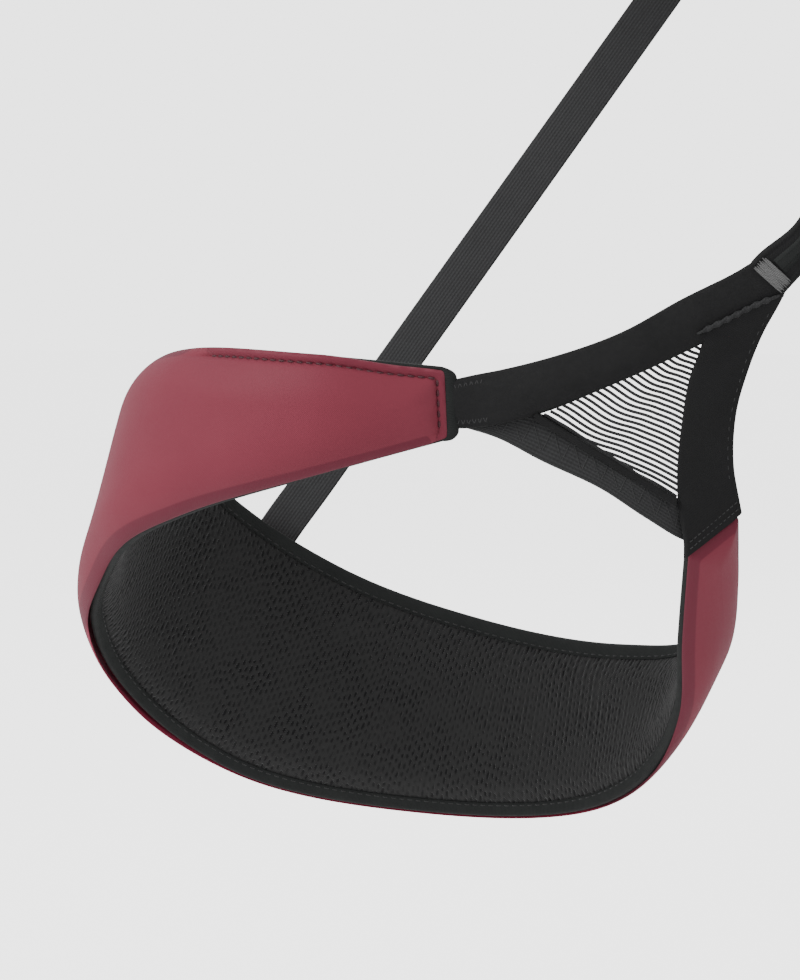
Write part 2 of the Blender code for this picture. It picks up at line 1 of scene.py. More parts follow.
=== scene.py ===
"""Looks of the climbing harness: fabric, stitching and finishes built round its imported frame.

Row frame: the origin is the centre of the waist opening, +Z is up, the wearer faces -Y and +X is
the wearer's left. Lengths are millimetres until a mesh is made. Whatever comes in pairs is drawn
at positive X and mirrored by its side sign.
"""
import math
import bpy
import numpy as np
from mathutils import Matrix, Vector, noise


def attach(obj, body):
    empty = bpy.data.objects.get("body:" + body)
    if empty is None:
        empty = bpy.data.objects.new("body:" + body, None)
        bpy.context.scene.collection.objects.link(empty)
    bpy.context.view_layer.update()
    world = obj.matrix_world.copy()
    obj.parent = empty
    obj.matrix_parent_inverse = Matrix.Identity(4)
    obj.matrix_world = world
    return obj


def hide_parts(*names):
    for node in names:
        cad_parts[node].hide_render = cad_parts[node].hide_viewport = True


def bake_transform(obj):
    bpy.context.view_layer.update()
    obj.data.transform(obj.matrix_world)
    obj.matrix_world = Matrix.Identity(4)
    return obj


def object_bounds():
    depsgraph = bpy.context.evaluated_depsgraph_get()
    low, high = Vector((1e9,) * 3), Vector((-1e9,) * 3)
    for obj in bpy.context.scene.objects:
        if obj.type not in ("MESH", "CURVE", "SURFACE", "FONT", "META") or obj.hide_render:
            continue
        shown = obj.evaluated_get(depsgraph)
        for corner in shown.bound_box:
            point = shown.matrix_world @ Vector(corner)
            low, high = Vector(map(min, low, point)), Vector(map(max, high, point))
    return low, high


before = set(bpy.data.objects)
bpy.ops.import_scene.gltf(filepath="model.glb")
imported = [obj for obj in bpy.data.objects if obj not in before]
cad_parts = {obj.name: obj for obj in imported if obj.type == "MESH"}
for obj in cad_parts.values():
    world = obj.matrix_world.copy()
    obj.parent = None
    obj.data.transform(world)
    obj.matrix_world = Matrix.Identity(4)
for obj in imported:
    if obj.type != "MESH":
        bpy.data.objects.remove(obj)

CAD_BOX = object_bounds()
MM = 0.001
SIDES = (("right", -1.0), ("left", 1.0))
CAMERA_GLOW = 2.2
SIDEWAYS = np.array((1.0, 0.0, 0.0))
UPWARD = np.array((0.0, 0.0, 1.0))

# ---------------------------------------------------------------- shared shape

# Waist belt
WAIST_HALF_WIDTH = 150.0
WAIST_HALF_DEPTH = 112.0
WAIST_FRONT_HEIGHT = 46.0
WAIST_BACK_HEIGHT = 92.0
WAIST_FRONT_Z = -40.0
WAIST_BACK_Z = 8.0
WAIST_END_ANGLE = 27.0
WAIST_FLARE = 1.5

# Leg loop band, from the front outer end round the thigh to the inner end: top and bottom rims
LEG_RIMS = (
    ((128, -121, -240), (127, -122, -261)),
    ((172, -124, -236), (170, -125, -273)),
    ((213, -94, -236), (216, -102, -288)),
    ((226, -72, -240), (236, -84, -298)),
    ((234, -46, -249), (249.2, -60, -312.6)),
    ((234, -20, -264), (257.8, -32, -330.4)),
    ((224, 0, -283), (254.4, -6, -352)),
    ((206, 11, -300), (240.3, 8, -370.8)),
    ((182, 15, -315), (216.8, 16, -387.2)),
    ((131, 9, -333), (149.5, 14, -400.3)),
    ((78, -16, -339), (84.8, -14, -392.7)),
    ((55, -34, -336), (68, -34, -379)),
    ((43, -56, -323), (58, -59, -356)),
    ((39, -78, -307), (56, -84, -329)),
    ((38, -102, -287), (53, -110, -298)),
)

# Front yoke
YOKE_THICKNESS = 2.6
UPPER_STRAP_RIMS = (
    ((129.5, -121.6, -243.8), (129.0, -121.6, -258.6)),
    ((120, -121.4, -241.6), (120, -121.4, -258.4)),
    ((112, -122, -240), (112, -122, -257)),
    ((93, -123, -235), (97, -122, -253)),
    ((74, -124, -228), (80, -122, -246)),
    ((55, -125, -217.5), (62, -122, -238)),
    ((40, -125, -210), (43, -122, -228.5)),
    ((32.5, -125, -205.5), (23, -123, -216.5)),
)
INSERT_CORNERS = ((97.0, -121.5, -256.3), (50.0, -120.4, -233.8), (58.8, -115.0, -280.0))
ELASTIC_THICKNESS = 1.6

# Rear riser
RISER_FOOT = (218.6, 19.8, -337.0)
RISER_KNEE = (203.1, 19.8, -307.0)
RISER_TOP = (34.0, 100.5, -62.0)
RISER_WIDTH = 14.2
RISER_THICKNESS = 1.6
RISER_TAIL = 24.0
RING_LENGTH = 14.0
RING_WIDTH = 22.2
RING_BAR = 3.0
FOLD_RADIUS = 3.3
ANCHOR_TOP_Z = -32.0
ANCHOR_ANGLE = 174.8
KEEPER_LENGTH = 6.0
KEEPER_REST = -25.0

# Waist strap and buckle
BUCKLE_ANGLE = 17.0
STRAP_WIDTH = 20.0
STRAP_THICKNESS = 1.8
STRAP_START = -111.0
STRAP_TAIL_END = -158.0
TAIL_ON_PAD = 8.2
FRAME_HALF_LENGTH = 12.0
FRAME_HALF_HEIGHT = 16.0
FRAME_BAR = 4.0
FRAME_THICKNESS = 3.0
SLIDER_BAR_T = -7.0
SLIDER_BAR_N = 6.2
SLIDER_BAR_RADIUS = 1.4
SLIDER_HALF_HEIGHT = 14.5
SLIDER_LENGTH = 13.0
STRAP_FOLD_RADIUS = 3.4

# Tie-in loops and belay loop
UPPER_TIE_IN_RIMS = (
    ((30, -104.4, -32), (18, -104.8, -32)),
    ((30, -105, -50), (18, -105.4, -46)),
    ((26, -112, -68), (15.5, -112, -61)),
    ((14, -119, -80), (9.5, -119, -71.5)),
    ((7, -121.3, -82.3), (5, -121.3, -73.3)),
    ((0, -121.5, -82.5), (0, -121.5, -73.5)),
)
LOWER_TIE_IN_RIMS = (
    ((33.4, -125, -205.8), (23.4, -123.8, -216.0)),
    ((31.6, -125, -203.8), (21.6, -124, -214.0)),
    ((20, -126, -194), (13, -125.6, -203.2)),
    ((12, -126, -180.5), (9.5, -126, -190.5)),
    ((6, -126, -174.8), (5, -126, -184)),
    ((0, -126, -173.5), (0, -126, -182.5)),
)
TIE_IN_THICKNESS = 3.0
SLEEVE_LENGTH = 14.0
SLEEVE_HALF_DEPTH = 4.2
SLEEVE_HALF_HEIGHT = 8.8
SLEEVE_THICKNESS = 1.2
UPPER_SLEEVE_Z = -77.4
LOWER_SLEEVE_Z = -180.4
BELAY_TOP = (-121.8, -76.2)
BELAY_BOTTOM = (-126.0, -184.6)
BELAY_RADIUS = 10.6
BELAY_THICKNESS = 3.2
BELAY_WIDTH = 16.0

# Gear loops and haul loop
GEAR_LOOPS = (("front", 52.0, 86.0), ("rear", 97.0, 131.0))
GEAR_Z = -42.0
GEAR_DEPTH = 60.0
GEAR_RADIUS = 2.7
GEAR_TIP_HALF_WIDTH = 4.5
GEAR_TIP_HALF_THICKNESS = 0.7
GEAR_STANDOFF = 7.6
GEAR_LEAN = 9.0
TAB_HALF_WIDTH = 7.0
TAB_HEIGHT = 12.0
TAB_THICKNESS = 3.4
TAB_GAP = 1.0
HAUL_ANGLE = 4.6
HAUL_Z = -26.0
HAUL_DEPTH = 34.0

# ---------------------------------------------------------------- looks

SHELL_END_INSET = 1.3
SHELL_BASE = 1.0
SHELL_HEM = 1.4
SHELL_SEAM = 3.0
SHELL_SKIN = 1.2
MARK_REACH = 6.0
END_SEAM = 2.6
TAPE_INNER = 4.2
LINING_RIM = 1.2
LINING_FLANGE = 0.9
LINING_BULGE = 3.0
RIM_LINES = (0.0, 0.05, 0.2, 0.45, 0.8, 1.2, 1.7, 2.2, 2.6, 3.0, 3.4, 3.9, 4.6, 5.6, 7.0, 8.6, 10.4)
PAD_RIM_LINES = (0.0, 0.3, 1.2, 2.4, 3.4, 4.0, 5.0, 7.0, 9.8)
PUFF_LIMIT = 2.2


# ---------------------------------------------------------------- curves

def unit(vector):
    return vector / np.linalg.norm(vector, axis=-1, keepdims=True)


def lengths_along(path):
    return np.concatenate(([0.0], np.cumsum(np.linalg.norm(np.diff(path, axis=0), axis=1))))


def read_rows(table, stations, at):
    """Rows of a table, read at distances among its stations."""
    return np.stack([np.interp(at, stations, column) for column in np.transpose(table)], axis=-1)


def smooth(rows, stations):
    """Cubic curve through the rows, read at stations given as fractions of its length."""
    rows = np.asarray(rows, float)
    spans = np.diff(lengths_along(rows))
    slopes = np.diff(rows, axis=0) / spans[:, None]
    before, after = np.vstack((slopes[:1], slopes)), np.vstack((slopes, slopes[-1:]))
    padded = np.concatenate((spans[:1], spans, spans[-1:]))
    weight = (padded[:-1] / (padded[:-1] + padded[1:]))[:, None]
    tangents = before * (1 - weight) + after * weight
    s = np.linspace(0, 1, 24, endpoint=False)[:, None]
    fine = []
    for k, span in enumerate(spans):
        fine.append((2 * s**3 - 3 * s**2 + 1) * rows[k] + (s**3 - 2 * s**2 + s) * span * tangents[k]
                    + (3 * s**2 - 2 * s**3) * rows[k + 1] + (s**3 - s**2) * span * tangents[k + 1])
    fine = np.vstack(fine + [rows[-1:]])
    length = lengths_along(fine)
    return read_rows(fine, length, np.asarray(stations) * length[-1])


def smooth_rims(rims, count):
    """Two matching edge curves through pairs of points."""
    rows = smooth([first + second for first, second in rims], np.linspace(0, 1, count))
    return rows[:, :3], rows[:, 3:]


def mirrored(points, side):
    return np.asarray(points, float) * (side, 1.0, 1.0)


def arc(centre, radius, start, end, steps):
    """Points of a plane arc, angles in degrees."""
    angles = np.radians(np.linspace(start, end, steps))
    return [(centre[0] + radius * math.cos(a), centre[1] + radius * math.sin(a)) for a in angles]


def resampled(path, step):
    """The same path with points a given step apart."""
    length = lengths_along(path)
    return read_rows(path, length, np.linspace(0, length[-1], max(2, round(length[-1] / step) + 1)))


def eased(x):
    x = np.clip(x, 0, 1)
    return x * x * (3 - 2 * x)


# The riser's directions: up along it, across it and out of its rear face
RISE = unit(np.subtract(RISER_TOP, RISER_KNEE))
ACROSS = unit(np.array((RISE[2], 0.0, -RISE[0])))
REAR = np.cross(RISE, ACROSS)


# ---------------------------------------------------------------- meshes

class Builder:
    """Collects lofts into one mesh, with UVs in metres."""

    def __init__(self):
        self.points = []
        self.faces = []
        self.uvs = []
        self.marks = []
        self.count = 0

    def loft(self, sections, closed=False, uv=None, marks=None):
        """Closed skin through sections; point k of a section faces point -k across its thickness."""
        sections = np.asarray(sections, float)
        rows, columns = sections.shape[:2]
        u, v = uv if uv else default_uv(sections)
        i, j = np.indices((rows if closed else rows - 1, columns))
        i = np.stack((i, i, i + 1, i + 1), axis=-1).reshape(-1, 4)
        j = np.stack((j, j + 1, j + 1, j), axis=-1).reshape(-1, 4)
        quads = (i % rows) * columns + j % columns
        corners = np.stack((u[i, j], v[i, j]), axis=-1)
        flat = sections.reshape(-1, 3)
        a, b, c, d = (flat[quads[:, k]] for k in range(4))
        outward = (a * np.cross(b, c)).sum() + (a * np.cross(c, d)).sum() > 0
        faces = quads.tolist()
        places = corners.tolist()
        if not closed:
            for row in (0, rows - 1):
                for face in cap_faces(columns):
                    face = face if row else face[::-1]
                    faces.append([row * columns + k for k in face])
                    places.append([(u[row, k], v[row, k]) for k in face])
        if not outward:
            faces = [face[::-1] for face in faces]
            places = [place[::-1] for place in places]
        self.points.append(flat)
        self.faces += [[self.count + k for k in face] for face in faces]
        self.uvs += places
        self.marks.append(np.zeros(len(flat)) if marks is None else np.asarray(marks, float).ravel())
        self.count += len(flat)

    def mesh(self, name):
        mesh = bpy.data.meshes.new(name)
        mesh.from_pydata((np.vstack(self.points) * MM).tolist(), [], self.faces)
        layer = mesh.uv_layers.new(name="UVMap")
        layer.data.foreach_set("uv", np.array([xy for face in self.uvs for xy in face]).ravel())
        mark = mesh.attributes.new("edge", "FLOAT", "POINT")
        mark.data.foreach_set("value", np.concatenate(self.marks).astype(np.float32))
        mesh.shade_smooth()
        mesh.set_sharp_from_angle(angle=math.radians(55))
        return mesh


def default_uv(sections):
    """Metres along the sections' middles and metres round an average section."""
    rows, columns = sections.shape[:2]
    middle = sections.mean(axis=1)
    steps = np.linalg.norm(np.diff(middle, axis=0, append=middle[:1]), axis=1)
    round_it = np.linalg.norm(np.roll(sections, -1, axis=1) - sections, axis=2).mean(axis=0)
    u = np.concatenate(([0.0], np.cumsum(steps)))[:rows + 1] * MM
    v = np.concatenate(([0.0], np.cumsum(round_it))) * MM
    return np.broadcast_to(u[:, None], (rows + 1, columns + 1)), np.broadcast_to(v, (rows + 1, columns + 1))


def cap_faces(columns):
    """Strips that close an end section, from each point to the one that it faces."""
    half = columns // 2
    faces = [[0, 1, columns - 1]]
    faces += [[k, k + 1, columns - k - 1, columns - k] for k in range(1, half - 1)]
    return faces + [[half - 1, half, half + 1]]


def lofted(*skins, **how):
    """Builder with one closed skin through each of the stacks of sections."""
    builder = Builder()
    for sections in skins:
        builder.loft(sections, **how)
    return builder


def piece(name, builder, finish, body, slot, stands_for=(), blend_to=None):
    """Object made of a builder's mesh, with the nodes it stands for hidden: on its body, or baked in place
    when blend_to is given. Its slot is not used.
    """
    shown = f"{name}_shown" if name in stands_for else name
    mesh = builder.mesh(shown)
    mesh.materials.append(finish)
    obj = bpy.data.objects.new(shown, mesh)
    bpy.context.scene.collection.objects.link(obj)
    if stands_for:
        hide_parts(*stands_for)
    if blend_to:
        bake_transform(obj)
    elif body:
        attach(obj, body)
    return obj


def node_piece(name, builder, finish, body, slot, **how):
    """A piece that stands for the one node of its name."""
    return piece(name, builder, finish, body, slot, (name,), **how)


# ---------------------------------------------------------------- straps

EDGE_TURN = np.radians((0, 25, 50, 72, 90))


def strap_profile(thickness, crown=0.0, seams=()):
    """Upper half of a strap's section: (share across, mm in from that edge, mm up)."""
    r = thickness / 2
    first = [(0.0, r * (1 - math.cos(a)), r * math.sin(a)) for a in EDGE_TURN]
    for seam in seams:
        first += [(0.0, seam - 0.6, r), (0.0, seam, r - 0.28), (0.0, seam + 0.6, r)]
    middle = [(s, 0.0, r + crown * math.sin(math.pi * s)) for s in (0.3, 0.4, 0.5, 0.6, 0.7)]
    return first + middle + [(1.0, inset, up) for _, inset, up in first[::-1]]


def strap_sections(edge, other, thickness, crown=0.0, seams=(), closed=False):
    """Sections of a flat strap between two edges, with rounded edges and pressed seams."""
    centre = (edge + other) / 2
    along = np.gradient(centre, axis=0)
    if closed:
        along = np.roll(centre, -1, axis=0) - np.roll(centre, 1, axis=0)
    across = unit(other - edge)
    normal = unit(np.cross(across, along))
    upper = strap_profile(thickness, crown, seams)
    columns = []
    for share, inset, up in upper + [(share, inset, -up) for share, inset, up in upper[-2:0:-1]]:
        inward = math.copysign(inset, 0.5 - share)
        columns.append(edge + (other - edge) * share + across * inward + normal * up)
    return np.stack(columns, axis=1)


def path_edges(path, across, width):
    half = np.asarray(across) * width / 2
    return path - half, path + half


def strap_surface(edge, other):
    """Function giving a point and its normal at (mm along, share across, mm up) on a strap."""
    centre = (edge + other) / 2
    length = lengths_along(centre)
    normal = unit(np.cross(other - edge, np.gradient(centre, axis=0)))

    def place(t, share, up=0.0):
        share = np.asarray(share, float)[..., None]
        near, far, out = (read_rows(table, length, t) for table in (edge, other, normal))
        return near * (1 - share) + far * share + out * up, out

    place.length = length[-1]
    place.width = np.linalg.norm(other - edge, axis=1).mean()
    return place


def strap_piece(name, edges, thickness, finish, body, slot, crown=0.0, seams=(), **how):
    """Strap between two edges that stands for the node of its name. Returns its surface."""
    node_piece(name, lofted(strap_sections(*edges, thickness, crown, seams)), finish, body, slot, **how)
    return strap_surface(*edges)


# ---------------------------------------------------------------- threads

CAPSULE = ((0.0, 0.45, -0.9), (0.14, 1.0, 0.15), (0.5, 1.0, 0.45), (0.86, 1.0, 0.15), (1.0, 0.45, -0.9))


def threads(starts, ends, normals, radius):
    """Sections of short arched threads whose ends sink into the cloth."""
    ring = np.radians(np.arange(6) * 60)[:, None]
    made = []
    for start, end, normal in zip(starts, ends, normals):
        along = end - start
        round_it = unit(np.cross(normal, along)) * np.cos(ring) + normal * np.sin(ring) * 0.8
        made.append([start + along * share + normal * radius * rise + radius * size * round_it
                     for share, size, rise in CAPSULE])
    return made


def thread_piece(name, rows, finish, body, slot):
    piece(name, lofted(*rows), finish, body, slot)


def stitch_row(path, normals, pitch, length, radius):
    """Even stitches along a path that has a normal at each of its points."""
    run = lengths_along(path)
    count = int(run[-1] // pitch)
    starts = (np.arange(count) + 0.5) * run[-1] / count - length / 2
    upward = unit(read_rows(normals, run, starts + length / 2))
    return threads(read_rows(path, run, starts), read_rows(path, run, starts + length), upward, radius)


def zigzag(place, start, end, low, high, pitch, radius, up):
    """Zigzag thread on a strap surface, from one distance along it to another."""
    count = max(2, int(abs(end - start) / pitch))
    share = np.where(np.arange(count + 1) % 2, high, low)
    points, normals = place(np.linspace(start, end, count + 1), share, up)
    return threads(points[:-1], points[1:], normals[:-1], radius)


def bartack(place, start, end, low, high, up, radius, sign):
    """Dense block of slanting threads across a strap."""
    count = int(abs(end - start) / 0.5)
    t = np.linspace(start, end, 2 * count) + 0.12 * np.sin(np.arange(2 * count) * 2.4)
    share = np.tile((low, high), count) + 0.03 * np.sin(np.arange(2 * count) * 1.7)
    points, normals = place(t, share, up)
    return threads(points[:-1], points[1:], normals[:-1] * sign, radius)


def stitch_lines(place, lines, up, pitch, length, radius):
    """Stitch rows on both faces of a strap, between (mm along, share across) places."""
    made = []
    for sign in (-1.0, 1.0):
        for line in lines:
            line = resampled(np.array(line, float) * (1.0, place.width), 1.0)
            points, normals = place(line[:, 0], line[:, 1] / place.width, up * sign)
            made += stitch_row(points, normals * sign, pitch, length, radius)
    return made


def box_lines(first, last, low, high):
    """A box with a cross in it, as lines between (mm along, share across) places."""
    a, b, c, d = (first, low), (last, low), (last, high), (first, high)
    return (a, b), (b, c), (c, d), (d, a), (a, c), (d, b)


def facing(place, direction):
    """1 where a strap surface's normal goes with a direction, -1 where it goes against it."""
    return math.copysign(1.0, place(5.0, 0.5)[1] @ direction)


# ---------------------------------------------------------------- finishes

class Wire:
    """Output of a shader node. Sums and products with it are nodes of their own."""

    def __init__(self, finish, socket):
        self.finish = finish
        self.socket = socket

    def __add__(self, other):
        return self.finish.math("ADD", self, other)

    def __sub__(self, other):
        return self.finish.math("SUBTRACT", self, other)

    def __rsub__(self, other):
        return self.finish.math("SUBTRACT", other, self)

    def __mul__(self, other):
        return self.finish.math("MULTIPLY", self, other)

    def __truediv__(self, other):
        return self.finish.math("DIVIDE", self, other)

    def __abs__(self):
        return self.finish.math("ABSOLUTE", self)


class Finish:
    """A Principled material whose node tree is grown one node at a time."""

    def __init__(self, name, roughness=0.6, metallic=0.0, sheen=0.0, sheen_tint=(1, 1, 1), specular=0.5):
        self.material = bpy.data.materials.new(name)
        self.material.use_nodes = True
        self.tree = self.material.node_tree
        constants = {"Roughness": roughness, "Metallic": metallic, "Specular IOR Level": specular,
                     "Sheen Weight": sheen, "Sheen Roughness": 0.45, "Sheen Tint": (*sheen_tint, 1.0)}
        for socket, value in constants.items():
            self.set(socket, value)
        place = self.add("ShaderNodeUVMap", {}, uv_map="UVMap")
        self.u = self.add("ShaderNodeSeparateXYZ", {0: place})
        self.v = self.add("ShaderNodeSeparateXYZ", {0: place}, output=1)
        self.space = self.add("ShaderNodeTexCoord", {}, output="Object")

    def feed(self, socket, value):
        if isinstance(value, Wire):
            self.tree.links.new(value.socket, socket)
        else:
            socket.default_value = value

    def set(self, socket, value):
        self.feed(self.tree.nodes["Principled BSDF"].inputs[socket], value)

    def add(self, kind, inputs, output=0, **settings):
        node = self.tree.nodes.new(kind)
        for name, value in settings.items():
            setattr(node, name, value)
        for socket, value in inputs.items():
            self.feed(node.inputs[socket], value)
        return Wire(self, node.outputs[output])

    def math(self, operation, *values):
        return self.add("ShaderNodeMath", dict(enumerate(values)), operation=operation)

    def range(self, value, low, high, to_low=0.0, to_high=1.0, smooth=False):
        kind = "SMOOTHSTEP" if smooth else "LINEAR"
        inputs = {0: value, 1: low, 2: high, 3: to_low, 4: to_high}
        return self.add("ShaderNodeMapRange", inputs, interpolation_type=kind)

    def noise(self, scale, detail=2.0, source=None):
        inputs = {"Vector": source or self.space, "Scale": scale, "Detail": detail}
        return self.add("ShaderNodeTexNoise", inputs)

    def wave(self, value, pitch):
        """Sine of a coordinate, one turn per pitch in metres."""
        return self.math("SINE", value * (2 * math.pi / pitch))

    def mix(self, share, first, second):
        """Blend of two colours; either may be a wire or (red, green, blue)."""
        pair = [(*value, 1.0) if isinstance(value, tuple) else value for value in (first, second)]
        return self.add("ShaderNodeMix", {0: share, 6: pair[0], 7: pair[1]}, output=2, data_type="RGBA")

    def colour(self, share, dark, light):
        self.set("Base Color", self.mix(share, dark, light))

    def rough(self, share, low, high):
        self.set("Roughness", self.range(share, 0.0, 1.0, low, high))

    def bump(self, *layers):
        """Bump layers of (height, depth in millimetres), stacked."""
        normal = {}
        for height, depth in layers:
            inputs = {"Height": height, "Strength": 1.0, "Distance": depth * MM}
            normal = {"Normal": self.add("ShaderNodeBump", inputs | normal)}
        self.set("Normal", normal["Normal"])


def shell_fabric():
    """Smooth laminated fabric, a fine weave: painted shade in its seam groove, hem and turned rim, painted
    light on its rolled rim that faces down, rubbed at its edge.
    """
    finish = Finish("shell_fabric", sheen=0.10, sheen_tint=(1.0, 0.60, 0.70), specular=0.22)
    edge = finish.add("ShaderNodeAttribute", {}, output="Fac", attribute_name="edge")
    seam = 1.0 - finish.range(abs(edge - SHELL_SEAM), 0.1, 0.9, smooth=True)
    turned = finish.range(edge, 2 * MARK_REACH - 3.2, 2 * MARK_REACH - 2.6, smooth=True)
    hem = finish.range(edge, SHELL_SEAM, SHELL_SEAM - 0.8, smooth=True)
    rolled_rim_painted_light = finish.range(edge, 2 * MARK_REACH + 0.2, 2 * MARK_REACH + 1.0, smooth=True)
    worn = finish.range(edge, 1.3, 0.3) * finish.range(finish.noise(260.0), 0.4, 0.8)
    base = finish.mix(finish.noise(22.0, 3.0), (0.165, 0.021, 0.037), (0.205, 0.031, 0.050))
    # Painted shade: the pressed seam groove is darkened.
    base = finish.mix(seam * 0.3, base, (0.075, 0.008, 0.016))
    # Painted shade: the hem strip outside the stitches and the turned rim that faces down are darkened.
    base = finish.mix(finish.math("MAXIMUM", turned * 0.7, hem * 0.4), base, (0.108, 0.009, 0.024))
    # Painted light: the rolled rim that faces down and gets little light is lightened.
    base = finish.mix(rolled_rim_painted_light, base, (0.31, 0.032, 0.068))
    finish.colour(worn * 0.35, base, (0.34, 0.10, 0.13))
    finish.rough(finish.noise(1400.0), 0.52, 0.68)
    weave = finish.wave(finish.u, 0.00062) * finish.wave(finish.v, 0.00062)
    pucker = finish.wave(finish.u + finish.v, 0.00325) * seam
    finish.bump((weave, 0.020), (finish.noise(60.0), 0.10), (pucker, 0.16))
    return finish.material


def spacer_mesh():
    """Knitted spacer mesh: staggered slots, long across the band, in fine knit ribs."""
    finish = Finish("spacer_mesh", sheen=0.12, specular=0.25)
    column = finish.u / 0.00165
    number = finish.math("FLOOR", column)
    own = finish.add("ShaderNodeTexWhiteNoise", {"W": number}, noise_dimensions="1D")
    drift = finish.noise(320.0) * 1.1 + own * 0.45
    row = finish.v / 0.0034 + (finish.math("MODULO", number, 2.0) * 0.5 + drift)
    x = (finish.math("FRACT", column) - 0.5) * (1.65 / 0.55)
    y = (finish.math("FRACT", row) - 0.5) * (3.4 / 1.15)
    patchy = finish.range(finish.noise(90.0), 0.35, 0.62, 0.35, 1.0)
    slot = finish.range(finish.math("SQRT", x * x + y * y), 1.25, 0.45, smooth=True) * patchy
    # Painted shade: the slots are darker, as shade inside the mesh's holes.
    finish.colour(slot, (0.0190, 0.0190, 0.0190), (0.0075, 0.0075, 0.008))
    finish.rough(slot, 0.72, 0.95)
    knit = finish.wave(finish.u, 0.00083) * finish.wave(finish.v, 0.0007)
    streaks = finish.wave(finish.u, 0.0026) * finish.range(finish.noise(60.0), 0.4, 0.65)
    finish.bump((1.0 - slot, 0.42), (knit, 0.05), (streaks, 0.16), (finish.noise(45.0), 0.35))
    return finish.material


def ribbed_tape(name, dark, light, rib=0.00055, depth=0.04):
    """Binding or thin fabric with fine ribs across it."""
    finish = Finish(name, sheen=0.05, specular=0.16)
    finish.colour(finish.noise(120.0, 3.0), dark, light)
    finish.rough(finish.noise(500.0), 0.55, 0.78)
    finish.bump((finish.wave(finish.u, rib), depth), (finish.noise(70.0), 0.12))
    return finish.material


def strap_fabric():
    """Black fabric that covers the yoke straps: a fine twill with a little sheen."""
    finish = Finish("strap_fabric", sheen=0.04, specular=0.14)
    finish.colour(finish.noise(70.0, 3.0), (0.0072, 0.0072, 0.0075), (0.0125, 0.0125, 0.013))
    finish.rough(finish.noise(600.0), 0.50, 0.70)
    finish.bump((finish.wave(finish.u + finish.v, 0.0006), 0.03), (finish.noise(55.0, 3.0), 0.25))
    return finish.material


def elastic(name, dark, light):
    """Woven elastic: ribs along it, crossed by a short filling weave."""
    finish = Finish(name, sheen=0.12, specular=0.3)
    rib = finish.math("ROUND", finish.v / 0.0011)
    height = finish.wave(rib * 0.00065 + finish.u, 0.0013) * 0.45 + finish.wave(finish.v, 0.0011)
    share = finish.range(height + finish.noise(160.0) * 1.2, -1.0, 2.0)
    finish.colour(share, dark, light)
    finish.rough(share, 0.9, 0.72)
    finish.bump((height, 0.055), (finish.noise(120.0), 0.10))
    return finish.material


def webbing(name, dark, light):
    """Flat nylon webbing: rows of chevron weave, lighter on its high spots."""
    finish = Finish(name, sheen=0.2, specular=0.4)
    slant = abs(finish.math("FRACT", finish.v / 0.0032) - 0.5) * 0.0034 + finish.u
    height = finish.wave(slant, 0.0012) * 0.5 + abs(finish.wave(finish.v, 0.0016))
    share = finish.range(finish.noise(90.0, 3.0) * 0.9 + height, -0.3, 2.2)
    finish.colour(share, dark, light)
    finish.rough(share, 0.82, 0.6)
    finish.bump((height, 0.12), (finish.noise(140.0), 0.08))
    return finish.material


def thread(name, dark, light):
    """Sewing thread with a twist."""
    finish = Finish(name, sheen=0.1, specular=0.45)
    twist = finish.wave(finish.u + finish.v, 0.0006)
    finish.colour(finish.range(twist, -1.0, 1.0), dark, light)
    finish.rough(finish.noise(400.0), 0.42, 0.62)
    finish.bump((twist, 0.04))
    return finish.material


def brushed_aluminium():
    """Anodised aluminium, brushed along its bars, with rubbed edges."""
    finish = Finish("aluminium", metallic=1.0)
    stretched = finish.add("ShaderNodeMapping", {"Vector": finish.space, "Scale": (1.0, 1.0, 14.0)})
    streaks = finish.noise(90.0, 4.0, stretched)
    worn = finish.range(finish.add("ShaderNodeNewGeometry", {}, output="Pointiness"), 0.51, 0.56)
    finish.colour(finish.math("MAXIMUM", worn, streaks * 0.5), (0.36, 0.37, 0.39), (0.66, 0.67, 0.69))
    finish.rough(streaks, 0.26, 0.46)
    finish.bump((streaks, 0.02))
    return finish.material


def moulded_plastic():
    """Black moulded nylon with a fine spark-eroded grain."""
    finish = Finish("moulded_plastic")
    grain = finish.noise(900.0)
    finish.colour(finish.noise(60.0, 3.0), (0.014, 0.0145, 0.015), (0.026, 0.026, 0.027))
    finish.rough(grain, 0.34, 0.52)
    finish.bump((grain, 0.03), (finish.noise(80.0), 0.04))
    return finish.material


def stage_paint():
    """Pale floor paint that the camera sees as bright as the studio behind it."""
    finish = Finish("stage_paint", roughness=0.9)
    finish.colour(finish.noise(3.0), (0.86, 0.86, 0.86), (0.90, 0.90, 0.90))
    ray = finish.add("ShaderNodeLightPath", {}, output="Is Camera Ray")
    finish.set("Emission Color", (1.0, 1.0, 1.0, 1.0))
    finish.set("Emission Strength", ray * CAMERA_GLOW)
    return finish.material


SHELL = shell_fabric()
MESH = spacer_mesh()
TAPE = ribbed_tape("binding_tape", (0.010, 0.011, 0.011), (0.018, 0.020, 0.019))
STRAP = strap_fabric()
RISER_ELASTIC = elastic("riser_elastic", (0.0230, 0.0230, 0.0235), (0.0375, 0.0380, 0.0395))
HEM_ELASTIC = elastic("hem_elastic", (0.0155, 0.0155, 0.016), (0.027, 0.0275, 0.0285))
LADDER = ribbed_tape("ladder_mesh", (0.016, 0.016, 0.0165), (0.036, 0.036, 0.038), rib=0.0009, depth=0.05)
ROLLED = ribbed_tape("rolled_seam", (0.014, 0.014, 0.0145), (0.034, 0.034, 0.0355), rib=0.0009)
BLACK_WEB = webbing("black_webbing", (0.010, 0.010, 0.011), (0.036, 0.036, 0.038))
RED_WEB = webbing("red_webbing", (0.11, 0.010, 0.020), (0.34, 0.055, 0.080))
DARK_RED_THREAD = thread("dark_red_thread", (0.030, 0.002, 0.006), (0.085, 0.008, 0.018))
